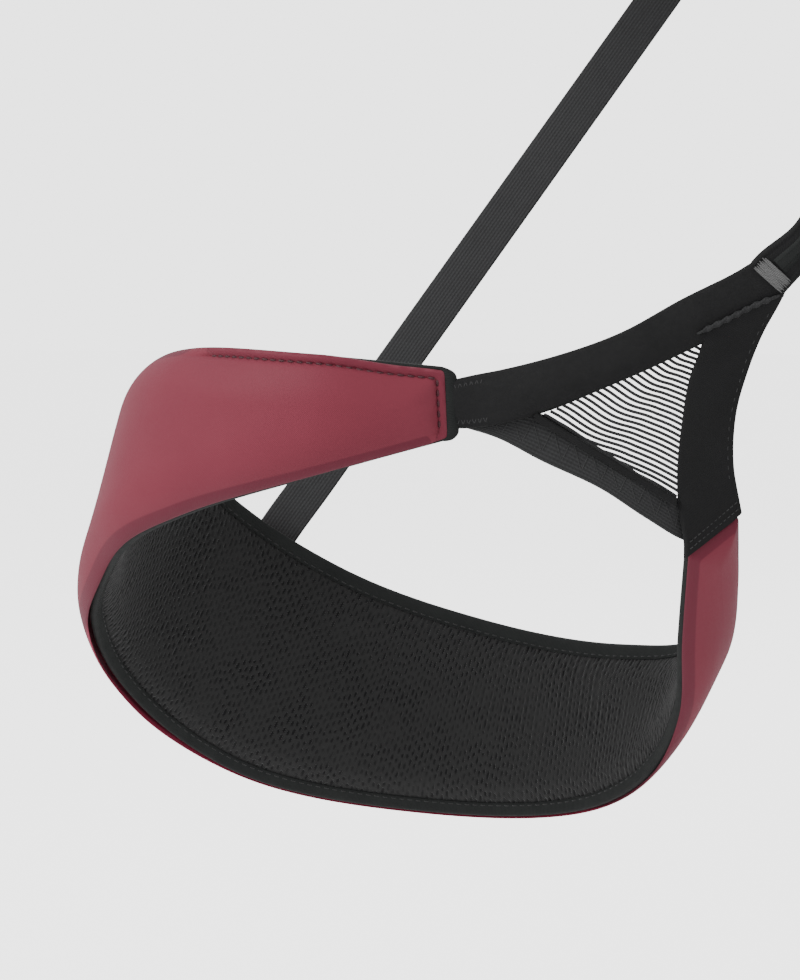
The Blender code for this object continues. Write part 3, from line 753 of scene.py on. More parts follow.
BLACK_THREAD = thread("black_thread", (0.006, 0.006, 0.006), (0.020, 0.020, 0.021))
SOFT_BLACK_THREAD = thread("soft_black_thread", (0.010, 0.010, 0.0105), (0.030, 0.030, 0.0315))
GREY_THREAD = thread("grey_thread", (0.045, 0.045, 0.045), (0.16, 0.16, 0.16))
METAL = brushed_aluminium()
PLASTIC = moulded_plastic()


# ---------------------------------------------------------------- padded bands

RING_RUN = 220
RING_END = 20
RING_CORNER = 8
RING_TURN = RING_END + 2 * RING_CORNER


def ring_places():
    """Side, share along it and share round the corner after it (-1 before) of a ring's points."""
    rows = []
    for number, count in enumerate((RING_RUN, RING_END, RING_RUN, RING_END)):
        rows += [(number, step / count, -1.0) for step in range(count)]
        rows += [(number, 1.0, step / RING_CORNER) for step in range(RING_CORNER)]
    return np.array(rows).T


RING = ring_places()


class Band:
    """A padded band. Places on it are mm along it, mm down from its top rim and mm outward.

    Its pieces are named by putting a part's name into names. insets gives the distances that the
    shell keeps to both rims at places along it, and swell its full height.
    """

    def __init__(self, names, body, rims, side, seed, insets, swell, capped=(True, True)):
        top, bottom = rims
        centre = (top + bottom) / 2
        self.names = names
        self.body = body
        self.seed = seed
        self.insets = insets
        self.swell = swell
        self.top = top
        self.side = side
        self.capped = capped
        self.stations = lengths_along(centre)
        self.length = self.stations[-1]
        self.widths = np.linalg.norm(bottom - top, axis=1)
        self.across = unit(bottom - top)
        self.forward = unit(np.gradient(centre, axis=0))
        self.outward = unit(np.cross(self.across, self.forward))

    def width(self, u):
        return np.interp(u, self.stations, self.widths)

    def normal(self, u):
        return mirrored(unit(read_rows(self.outward, self.stations, u)), self.side)

    def point(self, u, v, out):
        u, v, out = np.broadcast_arrays(u, v, out)
        top, across, outward, forward = (read_rows(table, self.stations, u) for table in (
            self.top, self.across, self.outward, self.forward))
        beyond = u - np.clip(u, 0, self.length)
        place = top + across * v[..., None] + outward * out[..., None] + forward * beyond[..., None]
        return mirrored(place, self.side)

    def ring(self, side_in, end_in, out, corner=3.0):
        """Closed ring of points round the band, at its own insets from the sides and the ends."""
        number, share, turn = RING
        is_end, is_turn, is_back = number % 2 == 1, turn >= 0, number >= 2
        share = np.where(is_back, 1 - share, share)
        angle = np.pi / 2 * (number + turn - 1)
        cu, cv = np.maximum(corner, end_in), np.maximum(corner, side_in)
        u = np.where(is_back, end_in, self.length - end_in)
        u = np.where(is_end, u, cu + share * (self.length - 2 * cu))
        u = np.where(is_turn, np.where(is_back, cu, self.length - cu), u)
        width = self.width(u)
        v = np.where(is_end, cv + share * (width - 2 * cv), np.where(is_back, width - side_in, side_in))
        v = np.where(is_turn, np.where(number % 3 == 0, cv, width - cv), v)
        u = u + is_turn * np.maximum(cu - end_in, 0.03) * np.cos(angle)
        v = v + is_turn * np.maximum(cv - side_in, 0.03) * np.sin(angle)
        return self.point(u, v, out), self.normal(u)

    def end_share(self, corner=3.0):
        """1 on a ring's two ends and corners, fading to 0 along its long runs."""
        number, share, turn = RING
        reach = np.minimum(share, 1 - share) * (self.length - 2 * corner)
        near = np.where((number % 2 == 1) | (turn >= 0), 1.0, 1 - eased(reach / 7.0))
        run_far = (number == 0) == (share > 0.5)
        far = np.where(turn >= 0, number < 2, np.where(number % 2 == 0, run_far, number == 1))
        return near * np.array(self.capped, float)[far.astype(int)]


def near_lines(lines, span, middle):
    """Distances across each span, close together near both ends; one row per span."""
    span = np.atleast_1d(span)[:, None]
    near = np.array(lines) * np.minimum(1.0, span / 2.15 / lines[-1])
    last = near[:, -1:]
    inner = last + (span - 2 * last) * np.linspace(0, 1, middle + 2)[None, 1:-1]
    return np.hstack((near, inner, span - near[:, ::-1]))


def shell_height(d, full, sewn=1.0):
    """Outward height of the shell at a distance from its rim: rolled hem, pressed seam, swell.

    Where it isn't sewn along a row, the fabric is turned under the rim in one soft roll.
    """
    rolled = SHELL_HEM * np.sqrt(1 - (1 - np.clip(d / 1.3, 0, 1)) ** 2)
    reach = 7.0 + 0.9 * full
    rise = np.sin(np.pi / 2 * np.clip((d - SHELL_SEAM) / reach, 0, 1)) ** 0.75
    swell = (full - SHELL_BASE - SHELL_HEM) * rise
    seam = 0.55 * np.exp(-((d - SHELL_SEAM) / 0.55) ** 2)
    turned = (full - SHELL_BASE) * (1 - (1 - np.clip(d / (reach + SHELL_SEAM), 0, 1)) ** 2.6) ** 0.75
    return SHELL_BASE + (rolled + swell - seam) * sewn + turned * (1 - sewn)


def leg_swell(band, u, v):
    """Full height of a leg shell: fuller where it is wide, flat at the groin and under the riser's foot."""
    rise = mirrored(RISE, band.side)
    offset = band.point(u, v, 6.0) - mirrored(np.add(RISER_FOOT, RISER_KNEE) / 2, band.side)
    offset = offset - (offset @ rise)[..., None] * rise * 0.7
    pressed = np.exp(-(np.linalg.norm(offset, axis=-1) / 15.0) ** 2)
    groin = 0.8 * np.exp(-((u - 488) / 18) ** 2) - 4.6 * np.exp(-((u - 421) / 29) ** 2)
    return 5.0 + 3.8 * eased((band.width(u) - 16) / 36) + groin - 3.6 * pressed


def waist_swell(band, u, v):
    """Full height of the waist shell, which stays under the sewn tabs."""
    return 4.4 + 1.2 * eased((band.width(u) - 40) / 30)


def lining_depth(d):
    """Inward depth of the lining at a distance from the pad's rim: bound edge, then its puff."""
    flange = LINING_RIM + LINING_FLANGE * np.clip(d / TAPE_INNER, 0, 1)
    return flange + LINING_BULGE * np.sin(np.pi / 2 * np.clip((d - TAPE_INNER + 0.3) / 8.0, 0, 1)) ** 0.8


def band_grid(band, lines, insets, ends, step):
    """(mm along, mm down, distance to the rim) over a band, finer near its rim.

    insets gives the distances kept to the top and bottom rims at places along the band.
    """
    reach = band.length - sum(ends)
    u = ends[0] + near_lines(lines, reach, int(reach / step))[0]
    above, below = insets(u)
    widths = band.width(u) - above - below
    v = near_lines(lines, widths, int(widths.max() / step))
    from_end = np.minimum(u - ends[0], band.length - ends[1] - u)[:, None]
    from_side = np.minimum(v, widths[:, None] - v)
    reach_out = -np.log(np.exp(-from_end / 0.45) + np.exp(-from_side / 0.45)) * 0.45
    d = np.clip(reach_out, 0, None) * (np.minimum(from_end, from_side) > 0)
    return np.broadcast_to(u[:, None], v.shape), v + above[:, None], d


def two_sided(band, u, v, upper, lower, marks):
    """Sections, UVs and marks of a closed skin with an outer and an inner side."""
    sections = np.concatenate((band.point(u, v, upper), band.point(u, v, lower)[:, -2:0:-1]), axis=1)
    run, wrap = (np.concatenate((table, table[:, -2:0:-1], table[:, :1]), axis=1) * MM for table in (u, v))
    return sections, (run, wrap), np.concatenate((marks, marks[:, -2:0:-1]), axis=1)


def wrinkles(u, v, d, seed):
    """Gentle unevenness of a stretched laminated fabric, in mm."""
    rise = np.zeros(u.shape)
    for index in np.ndindex(u.shape):
        spot = Vector((u[index] / 52, v[index] / 24, seed))
        fine = Vector((u[index] / 17, v[index] / 11, seed + 7))
        rise[index] = noise.noise(spot) * 0.55 + noise.noise(fine) * 0.16
    return rise * eased((d - SHELL_SEAM) / 10)


def sewn_share(band, u, v):
    """1 where the shell's hem is sewn down in a row: not on its lower edge or under a strap's end."""
    far = band.length - u
    from_end = np.minimum(u, far) if band.capped[1] else u
    lower = eased((v / band.width(u) - 0.45) / 0.2) * eased((from_end - 4) / 4)
    plain = 0.0 if band.capped[1] else eased((90 - far) / 15)
    bend = 0.0 if band.capped[1] else eased((u - 78) / 24) * (1 - eased((u - 150) / 40))
    return 1 - np.maximum(np.maximum(lower, plain), bend)


def hem_mark(d, sewn):
    """Distance to a sewn rim, running on to twice the reach at a rim that is only turned under."""
    near = np.minimum(d, MARK_REACH)
    return near * sewn + (2 * MARK_REACH - near) * (1 - sewn)


def leg_insets(u):
    """The leg shell is rolled over its top rim at the hip and under its bottom rim at the rear."""
    above = 0.3 - 1.3 * eased((u - 14) / 26) * (1 - eased((u - 210) / 30))
    below = (-0.5 - 1.3 * eased((u - 135) / 40) * (1 - eased((u - 430) / 30))
             - 1.4 * eased((u - 135) / 30) * (1 - eased((u - 230) / 50)))
    return above, below


def waist_insets(u):
    return np.full(len(u), 0.3), np.full(len(u), -0.5)


def shell_piece(band):
    """The outer fabric, a sheet over the pad."""
    ends = [SHELL_END_INSET if capped else 0.2 for capped in band.capped]
    u, v, d = band_grid(band, RIM_LINES, band.insets, ends, 2.6)
    sewn = sewn_share(band, u, v)
    upper = shell_height(d, band.swell(band, u, v), sewn) + wrinkles(u, v, d, band.seed)
    lower = np.where(d <= 0, SHELL_BASE - 0.2, np.maximum(SHELL_BASE - 0.4, upper - SHELL_SKIN))
    upper = np.where(d <= 0, SHELL_BASE - 0.2, upper)
    # rolled raises the mark of the unsewn rim where it rolls under into the range that the shell finish
    # paints lighter: painted light on a rim that faces down.
    rolled = np.clip(-0.8 - band.insets(u[:, 0])[1], 0, 1)[:, None] * (1 - sewn) * (d < 2.0)
    rolled = rolled * eased((u - 170) / 40) * (1 - eased((u - 385) / 30))
    sections, uv, marks = two_sided(band, u, v, upper, lower, hem_mark(d, sewn) + 2 * rolled)
    builder = lofted(sections, uv=uv, marks=marks)
    shell = node_piece(band.names.format("shell"), builder, SHELL, band.body, "shell_fabric")


def inflate(obj, pinned, start, limit):
    """Lets a closed pad's free cloth swell under pressure, no further than the limit in mm."""
    pins = obj.vertex_groups.new(name="sewn")
    pins.add(np.flatnonzero(pinned).tolist(), 1.0, "REPLACE")
    cloth = obj.modifiers.new("swell", "CLOTH")
    values = {"quality": 6, "vertex_group_mass": "sewn", "pin_stiffness": 1.0, "tension_stiffness": 12.0,
              "compression_stiffness": 12.0, "bending_stiffness": 0.6, "shrink_min": -0.025,
              "use_pressure": True, "uniform_pressure_force": 4.0}
    for name, value in values.items():
        setattr(cloth.settings, name, value)
    cloth.settings.effector_weights.gravity = 0.0
    cloth.point_cache.frame_end = 20
    for number in range(1, 21):
        bpy.context.scene.frame_set(number)
    evaluated = obj.evaluated_get(bpy.context.evaluated_depsgraph_get())
    swollen = np.zeros(len(start) * 3, np.float32)
    evaluated.data.vertices.foreach_get("co", swollen)
    obj.modifiers.remove(cloth)
    obj.vertex_groups.remove(pins)
    bpy.context.scene.frame_set(1)
    moved = swollen.reshape(-1, 3) - start
    size = np.linalg.norm(moved, axis=1, keepdims=True)
    reach = limit * MM
    moved *= reach * np.tanh(size / reach) / np.maximum(size, 1e-9)
    obj.data.vertices.foreach_set("co", (start + moved).astype(np.float32).ravel())
    obj.data.update()


def pad_piece(band):
    """The stuffed pad with its mesh lining; its outer side is hidden under the shell."""
    u, v, d = band_grid(band, PAD_RIM_LINES, lambda u: (np.full(len(u), 0.5),) * 2, (0.9, 0.9), 3.2)
    full = band.swell(band, u, v)
    outer = np.clip(shell_height(d - 1.5, full * 0.9, sewn_share(band, u, v)) - SHELL_SKIN - 0.6, 0.3, None)
    upper = np.where(d <= 0, -0.2, outer)
    lower = np.where(d <= 0, -0.2, -lining_depth(d))
    sections, uv, marks = two_sided(band, u, v, upper, lower, d)
    builder = lofted(sections, uv=uv, marks=marks)
    nodes = [band.names.format(layer) for layer in ("core_web", "foam", "lining")]
    pad = piece(band.names.format("pad"), builder, MESH, None, "spacer_mesh", nodes)
    free = np.zeros(sections.shape[:2], bool)
    free[:, v.shape[1]:] = marks[:, v.shape[1]:] > TAPE_INNER
    inflate(pad, ~free.ravel(), np.vstack(builder.points) * MM, PUFF_LIMIT)
    pad.modifiers.new("rounding", "SUBSURF").render_levels = 1
    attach(pad, band.body)


TAPE_SIDE = ((0.9, 0.95), (0.2, 0.95), (-0.3, 0.75), (-0.6, 0.3), (-0.75, -0.3), (-0.7, -0.9),
             (-0.4, -1.45), (0.2, -1.85), (1.4, -2.15), (2.8, -2.45), (3.7, -2.62), (4.15, -2.6),
             (4.3, -2.3), (3.8, -1.9), (2.6, -1.6), (1.2, -1.2), (0.3, -0.7), (0.1, -0.1), (0.3, 0.4),
             (0.8, 0.6))
TAPE_END = ((2.4, 1.0), (1.4, 1.9), (0.4, 2.1), (-0.8, 1.9), (-1.8, 1.25), (-2.3, 0.2), (-2.1, -0.8),
            (-1.2, -1.65), (0.9, -2.1), (2.4, -2.4), (3.6, -2.6), (4.15, -2.6), (4.3, -2.3), (3.8, -1.9),
            (2.6, -1.5), (1.2, -1.0), (0.4, -0.5), (0.2, 0.1), (0.8, 0.8), (2.4, 0.7))


def binding_piece(band):
    """Tape that wraps the pad's raw edge, wider on the lining side and over the two ends."""
    share = band.end_share()
    rings = []
    for (side_in, side_up), (end_in, end_up) in zip(TAPE_SIDE, TAPE_END):
        at_end = side_in * (1 - share) + end_in * share
        rings.append(band.ring(side_in, at_end, side_up * (1 - share) + end_up * share)[0])
    builder = lofted(np.stack(rings, axis=1), closed=True)
    node_piece(band.names.format("binding"), builder, TAPE, band.body, "binding_tape")


def upper_run(ring, far_end):
    """The part of a ring that follows the first end, the top edge and any capped far end."""
    count = len(ring) - RING_RUN - (0 if far_end else 2 * RING_TURN)
    return np.roll(ring, RING_TURN, axis=0)[:count]


def rim_stitches(band):
    """Hem stitches in the shell's pressed seam, and the stitches that hold the tape."""
    run = np.linspace(0, 1, RING_RUN)
    along = np.concatenate((run, np.ones(RING_TURN), run[::-1], np.zeros(RING_TURN)))
    above = SHELL_SEAM + band.insets(along * band.length)[0]
    rings = band.ring(above, END_SEAM + SHELL_END_INSET, 0.0, corner=0.8)
    path, normals = (upper_run(ring, band.capped[1]) for ring in rings)
    path = path + normals * (shell_height(np.array(SHELL_SEAM), 0.0) + 0.12)
    hem = stitch_row(path, normals, 3.25, 2.35, 0.42)
    thread_piece(band.names.format("hem_stitches"), hem, DARK_RED_THREAD, band.body, "shell_fabric")
    path, normals = band.ring(3.3, 3.3, -2.58, corner=0.8)
    tape = stitch_row(path, -normals, 3.0, 2.0, 0.22)
    thread_piece(band.names.format("tape_stitches"), tape, BLACK_THREAD, band.body, "binding_tape")


def padded_band(band):
    pad_piece(band)
    shell_piece(band)
    binding_piece(band)
    rim_stitches(band)


# ---------------------------------------------------------------- yoke

# The side strap runs on under the upper strap and over the band's inner end
SIDE_STRAP_RUN = (
    ((47.4, -123.4, -225.4), (22.4, -123.8, -214.6)),
    ((49.2, -121.6, -233.4), (24.4, -122.8, -218.6)),
    ((52.4, -119.8, -242.0), (28.6, -120.6, -226.2)),
    ((55.0, -118.0, -257.0), (34.2, -118.4, -240.0)),
    ((56.4, -115.8, -272.0), (38.0, -115.4, -254.0)),
    ((55.8, -114.4, -285.0), (38.8, -110.8, -270.0)),
    ((54.2, -113.4, -295.4), (37.2, -106.8, -281.0)),
    ((54.2, -112.8, -299.6), (36.4, -105.4, -285.4)),
)


def yoke_strap(part, rims, name, side, crown):
    edges = mirrored(smooth_rims(rims, 90), side)
    return strap_piece(f"{part}_{name}", edges, YOKE_THICKNESS, STRAP, f"leg_loop_{name}", "black_webbing",
                       crown)


ROLLED_SEAM = (
    (50.0, -124.7, -228.3),
    (40.8, -125.1, -223.8),
    (31.4, -125.2, -219.0),
    (24.4, -125.3, -216.2),
)


def rolled_seam(name, side):
    """Seam allowance rolled into a twisted ridge, from the bartack down to the mesh's corner."""
    path = mirrored(smooth(ROLLED_SEAM, np.linspace(0, 1, 120)), side)
    front = np.array((0.0, -1.0, 0.0))
    low = unit(np.cross(np.gradient(path, axis=0), front))
    run = lengths_along(path)[:, None]
    ring = np.radians(np.arange(16) * 22.5)[None, :]
    size = 0.52 + 0.42 * np.abs(np.cos(ring - math.pi * run / 3.4)) + 0.1 * np.sin(run * 1.9)
    size = size * (0.4 + 0.6 * eased(np.minimum(run, run[-1] - run) / 4.0))
    sections = path[:, None] + (size * np.cos(ring))[..., None] * low[:, None]
    builder = lofted(sections + (size * np.sin(ring))[..., None] * front)
    piece(f"yoke_rolled_seam_{name}", builder, ROLLED, f"leg_loop_{name}", "black_webbing")


BARTACK_ENDS = ((30.7, -125.2, -205.9), (22.5, -124.3, -213.7))


def yoke_bartack(name, side):
    """Grey bartack over the yoke's top, in front and behind."""
    rows = []
    steps = np.linspace(-2.4, 2.4, 5)[:, None] * np.array((-0.70, 0.0, 0.71))
    for out in (-1.0, 1.0):
        edges = [mirrored(np.add(end, (0.0, out * 2.0, 0.0)) + steps, side) for end in BARTACK_ENDS]
        block = strap_surface(*edges)
        rows += bartack(block, 0.0, block.length, 0.0, 1.0, 0.0, 0.30, facing(block, (0.0, out, 0.0)))
    thread_piece(f"yoke_bartack_{name}", rows, GREY_THREAD, f"leg_loop_{name}", "black_webbing")


def yoke_straps(name, side):
    body = f"leg_loop_{name}"
    top = YOKE_THICKNESS / 2
    upper = yoke_strap("yoke_upper_strap", UPPER_STRAP_RIMS, name, side, 0.5)
    inner = yoke_strap("yoke_side_strap", SIDE_STRAP_RUN, name, side, 0.3)
    rolled_seam(name, side)
    rows = stitch_lines(inner, [((7, 0.88), (inner.length - 12, 0.88))], top, 3.2, 1.7, 0.15)
    thread_piece(f"yoke_seam_stitches_{name}", rows, SOFT_BLACK_THREAD, body, "black_webbing")
    across = [((inner.length - back, 0.06), (inner.length - back, 0.94)) for back in (4.5, 2.2)]
    rows = stitch_lines(inner, across, top + 0.12, 1.7, 1.3, 0.2)
    for up in (-top, top):
        rows += zigzag(upper, 3.0, 12.0, 0.10, 0.24, 0.9, 0.16, up)
        rows += zigzag(upper, 3.0, 14.0, 0.78, 0.92, 0.9, 0.16, up)
    thread_piece(f"yoke_end_stitches_{name}", rows, SOFT_BLACK_THREAD, body, "black_webbing")
    yoke_bartack(name, side)


def ladder_thread(number, corners, down):
    """Middle line of one wavy thread, from the upper strap or the hem to the side strap."""
    a, b, c = corners
    share = (number + 0.5) / 23.5
    end = b + (c - b) * share * 0.90
    start = a + (b - a) * (1.0 - share)
    if share >= 1:
        start = a + (c - a) * min(0.9, (share - 1.0) * 3.2)
    lead = unit(end - start)
    start = start - lead * 3.4
    end = end + lead * 2.4
    reach = np.linalg.norm(end - start)
    share = np.linspace(0, 1, max(6, int(reach / 1.3)))
    sway = np.sin(np.pi * np.minimum(share / 0.62, 1)) ** 2 * min(1.5, reach / 26)
    sway = sway - 0.4 * np.sin(np.pi * np.clip((share - 0.62) / 0.38, 0, 1)) * min(1.0, reach / 30)
    return start + (end - start) * share[:, None] + down * sway[:, None]


def ladder_insert(name, side):
    """Triangular mesh of wavy threads, and the dark hem along its lower side."""
    a, b, c = corners = np.array(INSERT_CORNERS)
    ring = np.radians(np.arange(8) * 45 + 22.5)
    plane = unit(np.cross(b - a, c - a))
    down = unit(c - b)
    builder = Builder()
    for number in range(-1, 27):
        path = ladder_thread(number, corners, down)
        wide = unit(np.cross(plane, unit(np.gradient(path, axis=0))))
        sections = path[:, None] + wide[:, None] * (0.52 * np.cos(ring))[None, :, None]
        builder.loft(mirrored(sections + plane * (0.34 * np.sin(ring))[None, :, None], side))
    body = f"leg_loop_{name}"
    node_piece(f"yoke_insert_{name}", builder, LADDER, body, "ladder_mesh")
    share = np.linspace(-0.10, 1.06, 30)[:, None]
    middle = a + (c - a) * share - (0.9 + 1.2 * eased(share / 0.3)) * (0.0, 1.0, 0.0)
    edges = mirrored((middle - down * 0.9, middle + down * 1.7), side)
    piece(f"yoke_insert_hem_{name}", lofted(strap_sections(*edges, 1.3)), STRAP, body, "black_webbing")


# The hem elastic runs on under the upper strap and under the side strap
ELASTIC_RUN = (
    ((123, -121.0, -253.2), (123, -121.0, -258.4)),
    ((114, -120.0, -252.2), (114, -120.0, -261.2)),
    ((98, -119.6, -254.2), (99, -119.2, -268.8)),
    ((80, -118.8, -264.8), (80, -118.6, -277.7)),
    ((66, -117.0, -274.2), (66, -116.2, -287.0)),
    ((56.4, -113.4, -280.6), (54.4, -111.2, -294.2)),
    ((50.6, -110.6, -284.6), (49.4, -108.6, -295.6)),
)


def hem_elastic(name, side):
    body = f"leg_loop_{name}"
    edges = mirrored(smooth_rims(ELASTIC_RUN, 60), side)
    place = strap_piece(f"yoke_elastic_{name}", edges, ELASTIC_THICKNESS, HEM_ELASTIC, body, "grey_elastic")
    rows = []
    for up in (-ELASTIC_THICKNESS / 2, ELASTIC_THICKNESS / 2):
        rows += zigzag(place, 8.0, place.length - 3.0, 0.18, 0.82, 3.4, 0.17, up)
    thread_piece(f"yoke_elastic_stitches_{name}", rows, BLACK_THREAD, body, "grey_elastic")


# ---------------------------------------------------------------- rear riser

def riser_local(points):
    """Plane points (along, rearward) at the ring's centre, in the row frame."""
    centre = np.array(RISER_TOP) + RISE * (RING_LENGTH / 2) + REAR * FOLD_RADIUS
    return np.array([centre + RISE * s + REAR * n for s, n in points])


def ring_frame(name, centre, axes, size, bar, thickness, finish, body, slot, side=1.0, corner=0.8):
    """Rectangular ring with rounded bars: axes are its length, width and thickness directions."""
    turn = bar * corner
    inward = np.array([math.copysign(abs(c) ** 0.6, c) for c in np.cos(np.radians(np.arange(20) * 18))])
    upward = np.array([math.copysign(abs(c) ** 0.6, c) for c in np.sin(np.radians(np.arange(20) * 18))])
    inset = (bar / 2 - bar / 2 * inward)[:, None]
    sections = []
    for number, signs in enumerate(((1, 1), (-1, 1), (-1, -1), (1, -1))):
        for angle in np.radians(90 * number + np.arange(9) * 11.25):
            ray = np.array((math.cos(angle), math.sin(angle)))
            flat = np.array(signs) * (np.array(size) / 2 - np.maximum(turn, inset))
            flat = flat + ray * (np.maximum(turn - inset, 0.0) + 0.02)
            section = centre + axes[0] * flat[:, :1] + axes[1] * flat[:, 1:]
            sections.append(section + axes[2] * (thickness / 2 * upward)[:, None])
    node_piece(name, lofted(mirrored(sections, side), closed=True), finish, body, slot)


def riser_path():
    """Middle line of the riser: up from its foot, round the ring and down its tail."""
    lower_bar = -(RING_LENGTH - RING_BAR) / 2
    fold = riser_local(arc((lower_bar, 0.0), FOLD_RADIUS, -90, 90, 17))
    tail = riser_local([(lower_bar - RISER_TAIL * s, FOLD_RADIUS) for s in (0.3, 0.6, 1.0)])
    rows = (RISER_FOOT, RISER_KNEE, RISER_KNEE + RISE * 25, fold[0] - RISE * 40, fold[0])
    run = smooth(rows, np.linspace(0, 0.985, 110))
    return run, fold, tail


def rear_riser(name, side):
    """The elastic strap, held at the belt and sewn to the leg loop under a patch."""
    run, fold, tail = riser_path()
    leg = f"leg_loop_{name}"
    edges = mirrored(path_edges(np.vstack((run, fold, tail)), ACROSS, RISER_WIDTH), side)
    bend = (leg, mirrored(run[-1] - RISE * 30, side), mirrored(run[6], side))
    strap_piece(f"rear_riser_{name}", edges, RISER_THICKNESS, RISER_ELASTIC, "waist_belt", "grey_elastic",
                blend_to=bend)
    foot = resampled(run[:9], 1.0) + REAR * (RISER_THICKNESS / 2 + 0.6)
    edges = mirrored(path_edges(foot, ACROSS, RISER_WIDTH + 4), side)
    place = strap_piece(f"riser_patch_{name}", edges, 1.2, STRAP, leg, "black_webbing")
    rows = stitch_lines(place, box_lines(2, place.length - 2, 0.1, 0.9), 0.6, 2.4, 1.7, 0.22)
    thread_piece(f"riser_patch_stitches_{name}", rows, DARK_RED_THREAD, leg, "black_webbing")


def riser_hardware(name, side):
    """Ring and anchor webbing at the belt, and the keeper on the strap."""
    centre = riser_local([(0.0, 0.0)])[0]
    size = (RING_LENGTH, RING_WIDTH)
    ring_frame(f"riser_ring_{name}", centre, (RISE, ACROSS, REAR), size, RING_BAR, RING_BAR, PLASTIC,
               "waist_belt", "moulded_plastic", side)
    upper_bar = (RING_LENGTH - RING_BAR) / 2
    front = riser_local([(upper_bar + 11.0, -FOLD_RADIUS), (upper_bar + 2.0, -FOLD_RADIUS)])
    fold = riser_local(arc((upper_bar, 0.0), FOLD_RADIUS, 270, 90, 17))
    back = riser_local([(upper_bar + 2.0, FOLD_RADIUS), (upper_bar + 11.0, FOLD_RADIUS)])
    hidden = [oval(ANCHOR_ANGLE, out, ANCHOR_TOP_Z) for out in (-0.3, 2.3)]
    path = smooth(np.vstack((hidden[:1], front, fold, back, hidden[1:])), np.linspace(0, 1, 60))
    edges = mirrored(path_edges(path, ACROSS, RISER_WIDTH), side)
    strap_piece(f"riser_anchor_{name}", edges, RISER_THICKNESS, BLACK_WEB, "waist_belt", "black_webbing")
    keeper = f"riser_keeper_{name}"
    size = (2 * FOLD_RADIUS + RISER_THICKNESS + 3.8, RISER_WIDTH + 4.6)
    ring_frame(keeper, riser_local([(KEEPER_REST, 0.0)])[0], (REAR, ACROSS, RISE), size, 1.6, KEEPER_LENGTH,
               PLASTIC, keeper, "moulded_plastic", side)


# ---------------------------------------------------------------- waist belt

def rise_share(angle):
    """0 at the front of the waist, 1 at the back."""
    return (1 - math.cos(math.radians(angle))) / 2


def belt_z(angle):
    return WAIST_FRONT_Z + (WAIST_BACK_Z - WAIST_FRONT_Z) * rise_share(angle) ** 0.8


def belt_height(angle):
    return WAIST_FRONT_HEIGHT + (WAIST_BACK_HEIGHT - WAIST_FRONT_HEIGHT) * eased(rise_share(angle) / 0.6)


def oval(angle, outward, z):
    """Point at an angle from the front centre, outside the waist oval by outward."""
    a = math.radians(angle)
    normal = unit(np.array((math.sin(a) / WAIST_HALF_WIDTH, -math.cos(a) / WAIST_HALF_DEPTH)))
    x = WAIST_HALF_WIDTH * math.sin(a) + normal[0] * outward
    y = -WAIST_HALF_DEPTH * math.cos(a) + normal[1] * outward
    return np.array((x, y, z))


def oval_tangent(angle):
    return unit(oval(angle + 0.5, 0, 0) - oval(angle - 0.5, 0, 0))


def oval_normal(angle):
    return unit(oval(angle, 1, 0) - oval(angle, 0, 0))


def waist_rim(sign):
    """The belt's top rim (1) or bottom rim (-1)."""
    angles = np.linspace(WAIST_END_ANGLE, 360 - WAIST_END_ANGLE, 400)
    return np.array([oval(angle, -WAIST_FLARE * sign, belt_z(angle) + belt_height(angle) / 2 * sign)
                     for angle in angles])


def strap_point(t, n, z=0.0):
    """Point of the waist strap: t along the oval from the buckle, n outward, z from its middle."""
    step = np.linalg.norm(oval(BUCKLE_ANGLE + 0.5, 0, 0) - oval(BUCKLE_ANGLE - 0.5, 0, 0))
    angle = BUCKLE_ANGLE + t / step
    return oval(angle, n, belt_z(BUCKLE_ANGLE) + z)


def waist_strap():
    """One webbing: in from the right pad, round the slider's bar and back over itself."""
    inner = [(STRAP_START, -0.6), (-90, -1.4), (-70, -1.6), (-50, -1.6), (-30, -1.6), (-18, -1.6),
             (-10.5, -1.6), (-7.2, -1.2), (-4.9, 0.4), (-3.8, 3.0)]
    fold = arc((SLIDER_BAR_T, SLIDER_BAR_N), STRAP_FOLD_RADIUS, 0, 90, 9)
    outer = [(-12, 9.2), (-20, 7.0), (-30, 4.2), (-45, 2.0), (-65, 1.4), (-85, 2.2), (-100, 4.8),
             (-112, TAIL_ON_PAD), (-135, TAIL_ON_PAD + 0.2), (STRAP_TAIL_END, TAIL_ON_PAD + 0.2)]
    rows = np.array([strap_point(t, n) for t, n in inner + fold + outer])
    edges = path_edges(smooth(rows, np.linspace(0, 1, 220)), UPWARD, STRAP_WIDTH)
    place = strap_piece("waist_strap", edges, STRAP_THICKNESS, RED_WEB, "waist_belt", "red_webbing")
    rows = []
    for up in (-STRAP_THICKNESS / 2, STRAP_THICKNESS / 2):
        rows += zigzag(place, place.length - 9, place.length - 4, 0.08, 0.92, 1.0, 0.22, up)
    thread_piece("waist_strap_stitches", rows, BLACK_THREAD, "waist_belt", "red_webbing")


